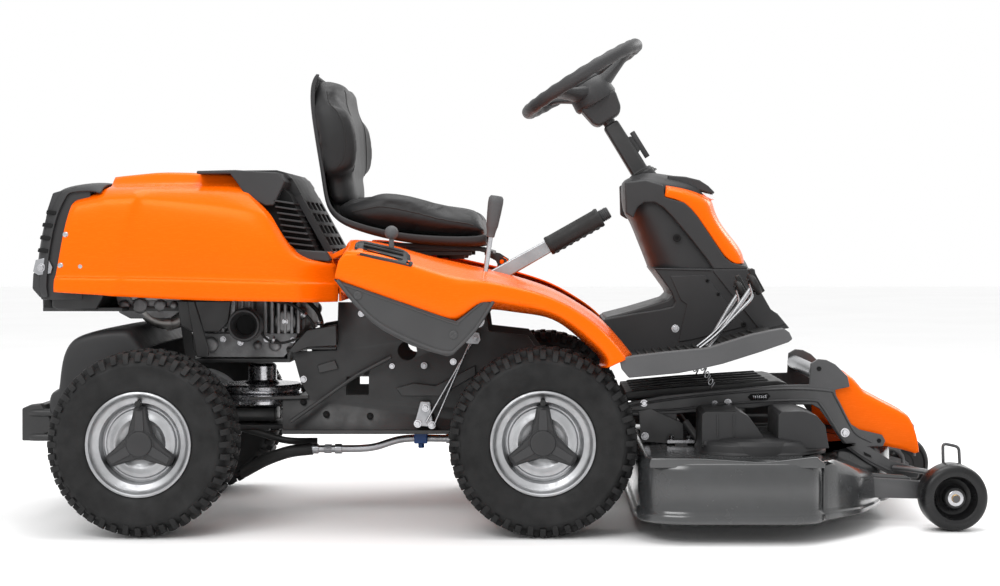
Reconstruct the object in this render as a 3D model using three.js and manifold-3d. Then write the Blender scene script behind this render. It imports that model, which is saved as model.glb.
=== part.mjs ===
// An articulated riding mower with a front cutting deck: the rear axle steers under the engine,
// the seat is in the middle and the deck hangs in front of the fixed front axle.
// Millimetres. +X is forward, +Y is the rider's left and +Z is up. The origin is on the ground,
// under the middle of the machine's length and width.
import * as THREE from "three";
import { mergeVertices } from "three/addons/utils/BufferGeometryUtils.js";
import Module from "manifold-3d";

const wasm = await Module();
wasm.setup();

// Driving dimensions
const FIT_GAP = 0.5; // between pieces that touch
const WHEELBASE = 863;
const FRONT_AXLE_X = 95;
const REAR_AXLE_X = FRONT_AXLE_X - WHEELBASE;
const TYRE_RADIUS = 203;
const TYRE_HALF_WIDTH = 82;
const TYRE_FACETS = 24;
const HALF_TRACK = 357;
const AXLE_Z = TYRE_RADIUS * Math.cos(Math.PI / TYRE_FACETS); // a flat facet is on the ground
const STEER_PIVOT_X = -570;
const FRAME_HALF_WIDTH = 156;
const FRAME_PLATE = 6;
const DECK_PIVOT = { x: 165, z: 240 };
const DECK_FRAME_Y = 178; // inner face of the deck's side plates
const HOOD_HINGE = { x: -1013, z: 577 };
const HOOD_WALL = 5;
const BODY_HALF_WIDTH = 435;
const BODY_INNER_Y = 250;
const BODY_WALL = 5;
const CONSOLE_HALF_WIDTH = 150;
const COLUMN_BASE = new THREE.Vector3(325, 0, 799);
const COLUMN_TILT = (31.8 * Math.PI) / 180; // back from vertical
const WHEEL_RING_RADIUS = 151;
const WHEEL_RING_TUBE = 14;
const WHEEL_HUB_ALONG = 260; // from the column's base to the steering wheel's plane
const LIFT_LEVER = { x: -60, y: -268, z: 526, angle: (33 * Math.PI) / 180 };
const HEIGHT_LEVER = { x: -47, y: -330, z: 460, lean: (8.4 * Math.PI) / 180 };
const THROTTLE = { x: -238, y: -381, z: 588 };
const SEAT_HINGE = { x: 0, z: 588 };
const CASTOR = { x: 997, y: 300, radius: 74, halfWidth: 38, facets: 20 };
const CASTOR_Z = CASTOR.radius * Math.cos(Math.PI / CASTOR.facets);
const BLADE_Z = 72;
const BELLCRANK = { x: -172, y: -168, z: 256 };

// Materials
const paint = (color, roughness, metalness) =>
  new THREE.MeshStandardMaterial({ color, roughness, metalness });
const orangePlastic = paint(0xf26a0f, 0.3, 0);
const darkPlastic = paint(0x3a3b3d, 0.6, 0);
const greyPlastic = paint(0x5d5e60, 0.6, 0);
const blackSteel = paint(0x232425, 0.45, 0.4);
const deckSteel = paint(0x3b3d3e, 0.35, 0.5);
const zincSteel = paint(0xc4c6c8, 0.3, 0.9);
const castMetal = paint(0x77797c, 0.5, 0.8);
const silverPaint = paint(0xb4b6b8, 0.35, 0.7);
const tyreRubber = paint(0x232323, 0.85, 0);
const seatVinyl = paint(0x2e2f30, 0.55, 0);
const clearLens = paint(0xdfe3e6, 0.1, 0);

// Turns a closed three.js geometry into a solid whose faces point out.
function solid(geometry) {
  const loose = geometry.index ? geometry.toNonIndexed() : geometry;
  const bare = new THREE.BufferGeometry().setAttribute("position", loose.getAttribute("position"));
  const merged = mergeVertices(bare, 1e-3);
  const triVerts = new Uint32Array(merged.index.array);
  const vertProperties = merged.attributes.position.array;
  const made = new wasm.Manifold(new wasm.Mesh({ numProp: 3, vertProperties, triVerts }));
  if (made.volume() > 0) return made;
  for (let i = 0; i < triVerts.length; i += 3) {
    [triVerts[i + 1], triVerts[i + 2]] = [triVerts[i + 2], triVerts[i + 1]];
  }
  return new wasm.Manifold(new wasm.Mesh({ numProp: 3, vertProperties, triVerts }));
}

function geometryOf(made) {
  const { vertProperties, triVerts } = made.getMesh();
  return new THREE.BufferGeometry()
    .setAttribute("position", new THREE.BufferAttribute(vertProperties, 3))
    .setIndex(new THREE.BufferAttribute(triVerts, 1));
}

const union = (...solids) => solids.reduce((a, b) => a.add(b));
const cut = (from, ...solids) => solids.reduce((a, b) => a.subtract(b), from);
const mirrored = (made) => made.mirror([0, 1, 0]);

function extruded(points, depth) {
  const shape = new THREE.Shape(points.map(([u, v]) => new THREE.Vector2(u, v)));
  return new THREE.ExtrudeGeometry(shape, { depth, bevelEnabled: false });
}

// An outline of (x, z) points, extruded from y0 to y1.
function side(points, y0, y1) {
  return solid(extruded(points, y1 - y0).rotateX(Math.PI / 2).translate(0, y1, 0));
}

// An outline of (x, y) points, extruded from z0 to z1.
function plan(points, z0, z1) {
  return solid(extruded(points, z1 - z0).translate(0, 0, z0));
}

// An outline of (y, z) points, extruded from x0 to x1.
function front(points, x0, x1) {
  const turn = new THREE.Matrix4().makeBasis(
    new THREE.Vector3(0, 1, 0), new THREE.Vector3(0, 0, 1), new THREE.Vector3(1, 0, 0));
  return solid(extruded(points, x1 - x0).applyMatrix4(turn).translate(x0, 0, 0));
}

function block(x0, x1, y0, y1, z0, z1) {
  const box = new THREE.BoxGeometry(x1 - x0, y1 - y0, z1 - z0);
  return solid(box.translate((x0 + x1) / 2, (y0 + y1) / 2, (z0 + z1) / 2));
}

// A round bar between two points.
function rod(from, to, radius, sides = 16, endRadius = radius) {
  const a = new THREE.Vector3(...from);
  const b = new THREE.Vector3(...to);
  const along = b.clone().sub(a);
  const cylinder = new THREE.CylinderGeometry(endRadius, radius, along.length(), sides);
  const turn = new THREE.Quaternion().setFromUnitVectors(
    new THREE.Vector3(0, 1, 0), along.clone().normalize());
  return solid(cylinder.applyQuaternion(turn).translate(...a.add(b).multiplyScalar(0.5).toArray()));
}

// A round bar bent along a smooth line through the points.
function bentRod(points, radius, steps, halfSides = 4) {
  const path = new THREE.CatmullRomCurve3(points.map((p) => new THREE.Vector3(...p)));
  const section = new THREE.Shape();
  section.absarc(0, 0, radius, 0, 2 * Math.PI, false);
  const options = { steps, extrudePath: path, bevelEnabled: false, curveSegments: halfSides };
  return solid(new THREE.ExtrudeGeometry(section, options));
}

// A closed profile of (radius, along) points turned about the Y axis.
function turned(profile, facets) {
  const points = profile.map(([r, w]) => new THREE.Vector2(r, w));
  const closed = profile[0][0] === 0 ? points : [...points, points[0].clone()];
  return solid(new THREE.LatheGeometry(closed, facets, Math.PI / facets));
}

// The same, about the Z axis.
function turnedUpright(profile, facets) {
  return turned(profile, facets).rotate([90, 0, 0]);
}

// Moves each edge of an outline inwards by a distance; the outline runs anticlockwise.
function inset(points, distance) {
  const area = points.reduce((sum, [x, y], i) => {
    const [nx, ny] = points[(i + 1) % points.length];
    return sum + x * ny - nx * y;
  }, 0);
  const way = area > 0 ? 1 : -1;
  return points.map((p, i) => {
    const before = points[(i + points.length - 1) % points.length];
    const after = points[(i + 1) % points.length];
    const e1 = new THREE.Vector2(p[0] - before[0], p[1] - before[1]).normalize();
    const e2 = new THREE.Vector2(after[0] - p[0], after[1] - p[1]).normalize();
    const n1 = new THREE.Vector2(-e1.y, e1.x).multiplyScalar(way);
    const n2 = new THREE.Vector2(-e2.y, e2.x).multiplyScalar(way);
    const bisector = n1.clone().add(n2).normalize();
    const reach = distance / Math.max(bisector.dot(n1), 0.4);
    return [p[0] + bisector.x * reach, p[1] + bisector.y * reach];
  });
}

// A form made into a cover that is open underneath.
const openBelow = (outer, inner, drop) => cut(outer, inner, inner.translate([0, 0, -drop]));

const machine = new THREE.Group();

function piece(name, material, made, group = machine, at = [0, 0, 0]) {
  const mesh = new THREE.Mesh(geometryOf(made), material);
  mesh.name = name;
  mesh.position.set(...at);
  group.add(mesh);
  return mesh;
}

// ---------------------------------------------------------------- main frame
const FRAME_OUTLINE = [
  [-500, 196], [205, 196], [215, 215], [215, 262], [150, 290], [60, 420], [-30, 430],
  [-45, 540], [-75, 540], [-90, 436], [-330, 496], [-373, 496], [-376, 386], [-478, 383], [-458, 312], [-440, 280], [-500, 280],
];

function mainFrame() {
  const plate = side(FRAME_OUTLINE, -FRAME_HALF_WIDTH, -FRAME_HALF_WIDTH + FRAME_PLATE);
  const lip = block(-500, 205, -FRAME_HALF_WIDTH - 14, -FRAME_HALF_WIDTH + 1, 196, 202);
  const lightening = rod([-215, -200, 385], [-215, -100, 385], 22);
  const window = block(-355, -303, -200, -100, 284, 326);
  const axleHole = rod([FRONT_AXLE_X, -200, AXLE_Z], [FRONT_AXLE_X, -100, AXLE_Z], 34, 24);
  const deckPin = rod([DECK_PIVOT.x, -FRAME_HALF_WIDTH + 1, DECK_PIVOT.z],
    [DECK_PIVOT.x, -DECK_FRAME_Y - 12, DECK_PIVOT.z], 12);
  const liftPin = rod([LIFT_LEVER.x, -FRAME_HALF_WIDTH + 1, LIFT_LEVER.z],
    [LIFT_LEVER.x, LIFT_LEVER.y - 14, LIFT_LEVER.z], 7.5, 12);
  const heightPin = rod([HEIGHT_LEVER.x, -FRAME_HALF_WIDTH + 1, HEIGHT_LEVER.z],
    [HEIGHT_LEVER.x, HEIGHT_LEVER.y - 10, HEIGHT_LEVER.z], 4.5, 12);
  const crankPin = rod([BELLCRANK.x, -FRAME_HALF_WIDTH + 1, BELLCRANK.z],
    [BELLCRANK.x, BELLCRANK.y - 12, BELLCRANK.z], 5.5, 12);
  const bare = cut(union(plate, lip), lightening, window, axleHole);
  const right = union(bare, deckPin);
  const inner = FRAME_HALF_WIDTH - FRAME_PLATE + 1;
  const yokeHole = rod([STEER_PIVOT_X, 0, 150], [STEER_PIVOT_X, 0, 300], 19, 24);
  const yoke = cut(union(
    block(-470, -440, -inner, inner, 198, 278),
    block(-640, -460, -75, 75, 250, 260),
    block(-640, -460, -75, 75, 198, 207)), yokeHole);
  const frontTie = block(185, 205, -inner, inner, 200, 255);
  const seatTie = block(-340, -310, -inner, inner, 440, 470);
  return union(right, liftPin, heightPin, crankPin, mirrored(right), yoke, frontTie, seatTie);
}
piece("main_frame", blackSteel, mainFrame());

function frontAxle() {
  const housing = side([[45, 165], [60, 150], [130, 150], [145, 165], [145, 240], [130, 255],
    [60, 255], [45, 240]], -140, 140);
  const tubes = rod([FRONT_AXLE_X, -266, AXLE_Z], [FRONT_AXLE_X, 266, AXLE_Z], 30, 20);
  const shafts = rod([FRONT_AXLE_X, -374, AXLE_Z], [FRONT_AXLE_X, 374, AXLE_Z], 18);
  return union(housing, tubes, shafts);
}
piece("front_axle", castMetal, frontAxle());

// Carries the engine, and the hood's hinge at its rear end.
function engineSubframe() {
  const plate = union(
    block(-722, -484, -150, 150, 358, 366),
    block(-490, -484, -150, 150, 358, 394),
    block(-490, -378, -156, 156, 388, 394));
  const strut = side([[-722, 360], [-700, 360], [-718, 484], [-740, 484]], -150, -142);
  const tray = union(block(-1028, -850, -225, 225, 478, 486),
    block(-860, -716, -160, -142, 476, 486), block(-860, -716, 142, 160, 476, 486));
  const hingeArm = side([[-1030, 478], [-1000, 478], [-1000, 545], [-1002, 590], [-1022, 590],
    [-1032, 560]], -216, -206);
  const hingePin = rod([HOOD_HINGE.x, -244, HOOD_HINGE.z], [HOOD_HINGE.x, -210, HOOD_HINGE.z], 8);
  const half = union(strut, hingeArm, hingePin);
  return union(plate, tray, half, mirrored(half));
}
piece("engine_subframe", blackSteel, engineSubframe());

// ---------------------------------------------------------------- engine
function engineBlock() {
  const sump = side([[-700, 366.5], [-500, 366.5], [-495, 400], [-470, 420], [-712, 420], [-712, 380]],
    -135, 135);
  const crankcase = side([[-704, 415], [-470, 415], [-450, 440], [-450, 500], [-704, 500]], -120, 120);
  const parts = [sump, crankcase];
  for (let i = 0; i < 4; i++) parts.push(block(-520 + i * 20, -510 + i * 20, -160, 160, 425, 500));
  for (const y of [-1, 1]) {
    const low = Math.min(y * 110, y * 175);
    parts.push(block(-690, -560, low, low + 65, 430, 560));
  }
  parts.push(turnedUpright([[0, 640], [60, 640], [110, 615], [120, 570], [120, 498], [0, 498]], 20)
    .translate([-590, 0, 0]));
  return union(...parts);
}
piece("engine_block", castMetal, engineBlock());

// The black round duct that points to the rider's right.
function airDuct() {
  const duct = cut(rod([-578, -175.5, 446], [-578, -222, 446], 36, 20),
    rod([-578, -182, 446], [-578, -230, 446], 30, 20));
  return duct;
}
piece("air_duct", darkPlastic, airDuct());

function muffler() {
  const can = rod([-870, -165, 565], [-870, 165, 565], 60, 20);
  const pipe = bentRod([[-850, -70, 540], [-822, -70, 492], [-790, -70, 438], [-760, -70, 424],
    [-734, -70, 436], [-728, -70, 482]], 12, 12);
  const outlet = rod([-732, -70, 470], [-704.5, -70, 470], 14);
  return union(can, pipe, outlet);
}
piece("muffler", castMetal, muffler());

// ---------------------------------------------------------------- hood
const HOOD_SIDE = [
  [-982, 523], [-978, 552], [-967, 590], [-956, 638], [-932, 709], [-915, 738], [-850, 752],
  [-845, 779], [-771, 790], [-661, 790], [-511, 796], [-480, 783], [-454, 740], [-375, 593],
  [-357, 528], [-357, 501],
];
const HOOD_FRONT = [
  [-312, 480], [312, 480], [312, 560], [292, 690], [262, 745], [215, 800], [-215, 800],
  [-262, 745], [-292, 690], [-312, 560],
];
const HOOD_PLAN = [
  [-990, -235], [-940, -290], [-820, -315], [-450, -315], [-350, -285],
  [-350, 285], [-450, 315], [-820, 315], [-940, 290], [-990, 235],
];
const VENT_SIDE = [
  [-600, 830], [-566, 757], [-546, 726], [-507, 715], [-484, 690], [-446, 623], [-400, 612],
  [-330, 612], [-330, 830],
];
const REAR_GRILLE_SIDE = [
  [-1060, 550], [-972, 593], [-950, 660], [-922, 726], [-895, 742], [-860, 752], [-852, 800],
  [-1060, 800],
];

function hoodForm(distance) {
  const sideView = inset(HOOD_SIDE, distance);
  return side(sideView, -400, 400)
    .intersect(front(inset(HOOD_FRONT, distance), -1100, -300))
    .intersect(plan(inset(HOOD_PLAN, distance), 400, 900));
}

function hoodSkin() {
  const open = block(-970, -362, -300, 300, 400, 540).intersect(
    plan(inset(HOOD_PLAN, HOOD_WALL), 400, 560));
  return cut(hoodForm(0), hoodForm(HOOD_WALL), open);
}

// The fixed wall under the hood's front vent, behind the seat.
const APRON_HALF_WIDTH = 236;
const apron = hoodSkin().intersect(
  block(-450, -330, -APRON_HALF_WIDTH, APRON_HALF_WIDTH, 480, 611.5));

function buildHood() {
  const skin = hoodSkin();
  const ventZone = side(VENT_SIDE, -400, 400);
  const grilleZone = side(REAR_GRILLE_SIDE, -400, 400);
  piece("hood_shell", orangePlastic, cut(skin, side(inset(VENT_SIDE, -FIT_GAP), -400, 400),
    side(inset(REAR_GRILLE_SIDE, -FIT_GAP), -400, 400),
    block(-450, -330, -APRON_HALF_WIDTH - 1, APRON_HALF_WIDTH + 1, 480, 612)));
  const louvres = [];
  for (let i = 0; i < 5; i++) {
    louvres.push(block(-500, -330, -110 + i * 50, -90 + i * 50, 630, 700));
  }
  piece("hood_front_vent", darkPlastic, cut(skin.intersect(ventZone), ...louvres));
  const rearFace = side([[-905, 769], [-957, 761], [-991, 742], [-1013, 695], [-1023, 654],
    [-1033, 612], [-985, 598], [-960, 594], [-945, 660], [-920, 728], [-890, 745]], -300, 300)
    .intersect(plan([[-1040, -195], [-1012, -238], [-960, -274], [-880, -296],
      [-880, 296], [-960, 274], [-1012, 238], [-1040, 195]], 500, 900));
  const ear = side([[-1036, 560], [-1000, 556], [-975, 600], [-985, 625], [-1030, 612]], -238, -218);
  const pinHole = rod([HOOD_HINGE.x, -260, HOOD_HINGE.z], [HOOD_HINGE.x, -200, HOOD_HINGE.z], 9.5);
  const ears = cut(ear, pinHole);
  piece("hood_rear_grille", darkPlastic, union(skin.intersect(grilleZone),
    cut(rearFace, hoodForm(HOOD_WALL)).intersect(grilleZone), ears, mirrored(ears)));
}
buildHood();

// ---------------------------------------------------------------- body panels
const BODY_TOP = [
  [-349, 556], [-334, 612], [-313, 636], [-270, 630], [-136, 589], [-31, 561], [46, 544],
  [118, 523], [169, 497], [217, 462], [250, 428], [283, 392],
];
const BODY_SIDE = [
  ...BODY_TOP,
  [257, 365], [247, 382], [199, 424], [155, 461], [114, 486], [44, 497], [-15, 508], [-37, 512],
  [-91, 467],
];

function bodySide() {
  const outer = side(BODY_SIDE, -BODY_HALF_WIDTH, -BODY_INNER_Y);
  const hollow = side(inset(BODY_SIDE, BODY_WALL), -BODY_HALF_WIDTH + BODY_WALL, -BODY_INNER_Y + 1);
  return cut(outer, hollow);
}

function leverSlots() {
  return [
    block(-95, 30, LIFT_LEVER.y - 14, LIFT_LEVER.y + 14, 500, 640),
    block(-115, -18, HEIGHT_LEVER.y - 9, HEIGHT_LEVER.y + 9, 440, 640),
    block(-272, -204, THROTTLE.y - 7, THROTTLE.y + 7, 580, 650),
  ];
}
const throttleEar = cut(
  block(-249, -227, THROTTLE.y + 8, THROTTLE.y + 12, 576, 614),
  rod([THROTTLE.x, -400, THROTTLE.z], [THROTTLE.x, -350, THROTTLE.z], 3.6, 12));
piece("body_side_right", orangePlastic, cut(bodySide(), ...leverSlots()).add(throttleEar));
piece("body_side_left", orangePlastic, mirrored(bodySide()));

function bodyCenterDeck() {
  const top = [[-337, 626], [-149, 587], [-2, 556], [118, 515], [165, 489]];
  const under = top.map(([x, z]) => [x, z - 6]).reverse();
  const y = BODY_INNER_Y - FIT_GAP;
  const sheet = side([...top, ...under], -y, y);
  const lug = side([[-14, 552], [14, 545], [10, 590], [0, 598], [-10, 590]], 96, 104);
  const pin = rod([SEAT_HINGE.x, 96, SEAT_HINGE.z], [SEAT_HINGE.x, 116, SEAT_HINGE.z], 5);
  const lugs = union(lug, pin);
  const web = side([[-390, 588], [-337, 614], [-330, 624], [-345, 622], [-390, 600]],
    -APRON_HALF_WIDTH, APRON_HALF_WIDTH);
  return union(sheet, apron, cut(web, hoodForm(2)), lugs, mirrored(lugs));
}
piece("body_center_deck", orangePlastic, bodyCenterDeck());

const TRIM_SIDE = [
  [-352, 551], [-345, 544], [-308, 500], [-271, 463], [-222, 432], [-150, 401], [-110, 389],
  [-94, 394], [-74, 421], [-47, 445], [-8, 503], [-40, 505], [-91, 462],
];
const sideTrim = side(TRIM_SIDE, -426, -412);
piece("side_trim_right", greyPlastic, sideTrim);
piece("side_trim_left", greyPlastic, mirrored(sideTrim));

function footplate() {
  const rail = side([[289, 389], [353, 397], [446, 406], [540, 434], [608, 449], [627, 427],
    [618, 419], [478, 374], [384, 354], [278, 344], [263, 362]], -430, -404);
  const floor = side([[289, 382], [353, 390], [446, 399], [540, 427], [600, 441], [603, 433],
    [540, 418], [446, 390], [353, 381], [289, 373]], -405, -CONSOLE_HALF_WIDTH - 20);
  const pedalSlots = block(425, 526, -330, -206, 360, 460);
  return cut(union(rail, floor), pedalSlots);
}
piece("footplate_right", greyPlastic, footplate());
piece("footplate_left", greyPlastic, mirrored(footplate()));

function controlPanel() {
  const outline = [[-304, 635.6], [-270, 631], [-186, 605.2], [-184, 610], [-268, 636], [-302, 641]];
  const slot = block(-272, -204, THROTTLE.y - 7, THROTTLE.y + 7, 590, 660);
  return cut(side(outline, -416, -346), slot);
}
piece("control_panel", darkPlastic, controlPanel());

// ---------------------------------------------------------------- console
const TUNNEL_SIDE = [
  [236, 457], [272, 465], [379, 496], [347, 569], [481, 569], [582, 440], [446, 402],
  [353, 393], [236, 393],
];
const TOWER_SIDE = [
  [345, 572], [300, 688], [285, 700], [281, 780], [332, 798], [423, 788], [467, 771],
  [490, 746], [495, 704], [561, 610], [564, 581], [588, 526], [615, 475], [628, 470],
  [648, 441], [586, 441], [484, 572],
];
const INSERT_SIDE = [
  [373, 760], [379, 769], [457, 753], [467, 735], [510, 727], [520, 704], [575, 612],
  [575, 577], [531, 586], [520, 596], [433, 714], [423, 722], [379, 737],
];
const LENS_SIDE = [[459, 753], [480, 757], [520, 747], [520, 729], [469, 737]];

function consoleForm(distance) {
  const outline = [[280, -95], [310, -140], [440, -150], [560, -120], [655, -100],
    [655, 100], [560, 120], [440, 150], [310, 140], [280, 95]];
  return side(inset(TOWER_SIDE, distance), -200, 200)
    .intersect(plan(inset(outline, distance), 400, 900));
}

function buildConsole() {
  const skin = cut(consoleForm(0), consoleForm(4));
  const columnHole = rod([345, 0, 765], [290, 0, 855], 19.5, 24);
  const insertZone = side(INSERT_SIDE, -200, 200);
  const lensZone = side(LENS_SIDE, -90, 90);
  piece("console_shell", darkPlastic, cut(skin, columnHole,
    side(inset(INSERT_SIDE, -FIT_GAP), -200, 200), side(inset(LENS_SIDE, -FIT_GAP), -91, 91)));
  piece("console_insert", orangePlastic, cut(skin.intersect(insertZone),
    side(inset(LENS_SIDE, -FIT_GAP), -91, 91)));
  piece("headlight_lens", clearLens, skin.intersect(lensZone));
  const tunnel = cut(side(TUNNEL_SIDE, -CONSOLE_HALF_WIDTH, CONSOLE_HALF_WIDTH),
    side(inset(TUNNEL_SIDE, 4), -CONSOLE_HALF_WIDTH + 4, CONSOLE_HALF_WIDTH - 4),
    block(250, 550, -130, 130, 380, 420));
  piece("tunnel_cover", darkPlastic, tunnel);
}
buildConsole();

// ---------------------------------------------------------------- steering column and wheel
const columnUp = new THREE.Vector3(-Math.sin(COLUMN_TILT), 0, Math.cos(COLUMN_TILT));
const columnFront = new THREE.Vector3(Math.cos(COLUMN_TILT), 0, Math.sin(COLUMN_TILT));
const COLUMN_TUBE_TOP = 162;

// The steering column's own frame: z runs up the column and x points forward.
const column = new THREE.Group();
column.position.copy(COLUMN_BASE);
column.rotation.y = -COLUMN_TILT;
machine.add(column);

piece("column_tube", blackSteel, cut(
  rod([0, 0, -60], [0, 0, COLUMN_TUBE_TOP], 18, 20), rod([0, 0, -40], [0, 0, 200], 13, 20)), column);
piece("steering_shaft", zincSteel, rod([0, 0, -20], [0, 0, 214], 10), column);

function steeringWheel() {
  const ring = solid(new THREE.TorusGeometry(WHEEL_RING_RADIUS, WHEEL_RING_TUBE, 8, 32))
    .translate([0, 0, WHEEL_HUB_ALONG]);
  const hub = cut(turnedUpright([[0, 266], [40, 264], [46, 250], [34, 190], [28, 168], [0, 168]], 20),
    rod([0, 0, 150], [0, 0, 218], 11));
  const spokes = [90, 180, 270].map((turn) => {
    const spoke = plan([[30, -22], [145, -14], [145, 14], [30, 22]], 246, 260);
    return spoke.rotate([0, 0, turn]);
  });
  return union(ring, hub, ...spokes);
}
piece("steering_wheel", darkPlastic, steeringWheel(), column);
piece("column_knob", darkPlastic, union(
  rod([18.5, 0, 56], [32, 0, 56], 4), block(28, 40, -7, 7, 21, 91)), column);

// ---------------------------------------------------------------- seat
const CUSHION_SIDE = [
  [-336, 675], [-318, 712], [-296, 724], [-227, 735], [-137, 712], [-69, 699], [-40, 680],
  [-31, 655], [-50, 643], [-310, 660],
];
const BACKREST_SIDE = [
  [-345, 683], [-322, 722], [-305, 738], [-316, 773], [-326, 822], [-345, 919], [-370, 987],
  [-395, 1012], [-416, 1012], [-424, 964], [-416, 818], [-398, 773], [-372, 700],
];
const SHELL_SIDE = [
  [-431, 964], [-424, 1014], [-417, 1016], [-425, 964], [-417, 817], [-399, 772], [-373, 698],
  [-347, 679], [-310, 657], [-50, 640], [-38, 632], [-50, 628], [-300, 640], [-350, 658],
  [-384, 692], [-405, 765], [-422, 816],
];

function buildSeat() {
  const cushionPlan = [[-330, -190], [-260, -228], [-110, -228], [-45, -200], [-28, -120],
    [-28, 120], [-45, 200], [-110, 228], [-260, 228], [-330, 190]];
  piece("seat_cushion", seatVinyl, side(inset(CUSHION_SIDE, 1), -240, 240)
    .intersect(plan(cushionPlan, 600, 800)));
  const backFront = [[-180, 680], [-215, 760], [-215, 870], [-160, 1000], [-110, 1014],
    [110, 1014], [160, 1000], [215, 870], [215, 760], [180, 680]];
  const cushionZone = side(inset(CUSHION_SIDE, -1), -260, 260);
  piece("seat_backrest", seatVinyl, cut(side(inset(BACKREST_SIDE, 1), -240, 240)
    .intersect(front(backFront, -500, -200)), cushionZone));
  piece("seat_shell", darkPlastic, side(SHELL_SIDE, -185, 185));
}
buildSeat();

// Steel plate under the seat, hinged at its front edge to the centre deck.
function seatBracket() {
  const plate = side([[-345, 635], [-300, 634], [-48, 621], [-20, 612], [-20, 604], [-50, 612],
    [-300, 626], [-345, 627]], -140, 140);
  const ear = cut(side([[-40, 612], [-10, 606], [12, 592], [8, 578], [-8, 578], [-14, 590],
    [-40, 604]], 105, 112), rod([0, 90, SEAT_HINGE.z], [0, 130, SEAT_HINGE.z], 6));
  const bumper = rod([-105, 100, 614], [-105, 100, 594], 25, 16, 18);
  const half = union(ear, bumper);
  return union(plate, half, mirrored(half));
}
piece("seat_bracket", blackSteel, seatBracket());

// ---------------------------------------------------------------- levers and pedals
// The deck lift lever's own frame: x runs along the lever from its pivot.
const lift = new THREE.Group();
lift.position.set(LIFT_LEVER.x, LIFT_LEVER.y, LIFT_LEVER.z);
lift.rotation.y = -LIFT_LEVER.angle;
machine.add(lift);

function liftLever() {
  const bar = block(0, 240, -9, 9, -17, 17);
  const boss = rod([0, -9, 0], [0, 9, 0], 20);
  const grip = rod([214, 0, 0], [336, 0, 0], 22);
  return cut(union(bar, boss, grip), rod([0, -30, 0], [0, 30, 0], 8),
    rod([312, 0, 0], [340, 0, 0], 16));
}
piece("lift_lever", zincSteel, liftLever(), lift);
piece("lift_button", darkPlastic, rod([330, 0, 0], [358, 0, 0], 14), lift);

function heightLever() {
  const { x, y, z, lean } = HEIGHT_LEVER;
  const at = (along) => [x + along * Math.sin(lean), y, z + along * Math.cos(lean)];
  const eye = rod([x, y - 6, z], [x, y + 6, z], 14);
  return cut(union(rod(at(0), at(195), 5.5), rod(at(188), at(278), 12, 16, 17), eye),
    rod([x, y - 20, z], [x, y + 20, z], 5));
}
piece("height_lever", zincSteel, heightLever());

function throttleLever() {
  const { x, y, z } = THROTTLE;
  const ball = solid(new THREE.SphereGeometry(15, 12, 8).translate(x + 6, y, z + 66));
  return union(rod([x, y, z], [x + 6, y, z + 60], 4.5, 12, 6), ball,
    rod([x, y - 4.5, z], [x, y + 4.5, z], 7), rod([x, y + 4, z], [x, y + 12, z], 3.2, 12));
}
piece("throttle_lever", darkPlastic, throttleLever());

// A wire pedal with a pad; its pivot bar is at the floor.
function pedal(y, foot, top) {
  const stem = bentRod([[foot[0], y, foot[1]], [foot[0] + 12, y, foot[1] + 18],
    [top[0] - 26, y, top[1] - 36], [top[0], y, top[1]]], 5, 8);
  const pad = solid(new THREE.BoxGeometry(14, 58, 62).rotateY(-0.5).translate(top[0], y, top[1]));
  const pivotBar = rod([foot[0], y - 16, foot[1]], [foot[0], y + 16, foot[1]], 7);
  return union(stem, pad, pivotBar);
}
const PEDAL_FOOT = [452, 384];
piece("forward_pedal", blackSteel, pedal(-298, PEDAL_FOOT, [560, 540]));
piece("reverse_pedal", blackSteel, pedal(-236, PEDAL_FOOT, [538, 524]));
piece("brake_pedal", blackSteel, mirrored(pedal(-268, PEDAL_FOOT, [552, 532])));

function bellcrank() {
  const { x, y, z } = BELLCRANK;
  const plate = side([[x - 12, z + 14], [x + 10, z + 14], [x + 18, z - 44], [x - 26, z - 40],
    [x - 24, z - 30]], y - 4, y);
  return cut(plate, rod([x, y - 20, z], [x, y + 20, z], 6));
}
piece("bellcrank", zincSteel, bellcrank());

function hydraulicPipe() {
  const y = -120;
  const pipe = bentRod([[20, y, 186], [-122, y, 181], [-225, y, 180], [-300, y, 160],
    [-430, y, 157]], 8, 14);
  const collar = rod([-373, y, 157.5], [-440, y, 157], 11, 12);
  const hose = bentRod([[-436, y, 157], [-490, y, 150], [-545, y + 10, 130], [-600, y + 30, 100]], 14, 8);
  return union(pipe, collar, hose);
}
piece("hydraulic_pipe", darkPlastic, hydraulicPipe());

// ---------------------------------------------------------------- rear carriage
function carriageFrame() {
  const tongue = block(-700, -535, -42, 42, 213, 244);
  const kingpin = rod([STEER_PIVOT_X, 0, 186], [STEER_PIVOT_X, 0, 346], 18, 20);
  const crossPlate = block(-706, -694, -130, 130, 190, 300);
  const rail = block(-984, -700, -130, -122, 262, 292);
  const rearPlate = block(-992, -984, -220, 220, 205, 292);
  const drum = turnedUpright([[17, 264], [86, 264], [86, 272], [78, 276], [78, 284], [86, 288],
    [86, 296], [28, 296], [28, 346], [17, 346]], 24).translate([STEER_PIVOT_X, 0, 0]);
  const fenderPost = block(-906, -898, -130, -122, 285, 426);
  return union(tongue, kingpin, crossPlate, rail, mirrored(rail), rearPlate, drum,
    fenderPost, mirrored(fenderPost));
}
piece("carriage_frame", blackSteel, carriageFrame());

function rearTransaxle() {
  const housing = side([[-850, 150], [-820, 120], [-740, 120], [-712, 150], [-712, 280],
    [-730, 296], [-840, 296], [-850, 285]], -105, 105);
  const tubes = rod([REAR_AXLE_X, -266, AXLE_Z], [REAR_AXLE_X, 266, AXLE_Z], 32, 20);
  const shafts = rod([REAR_AXLE_X, -374, AXLE_Z], [REAR_AXLE_X, 374, AXLE_Z], 18);
  return union(housing, tubes, shafts);
}
piece("rear_transaxle", castMetal, rearTransaxle());

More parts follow.
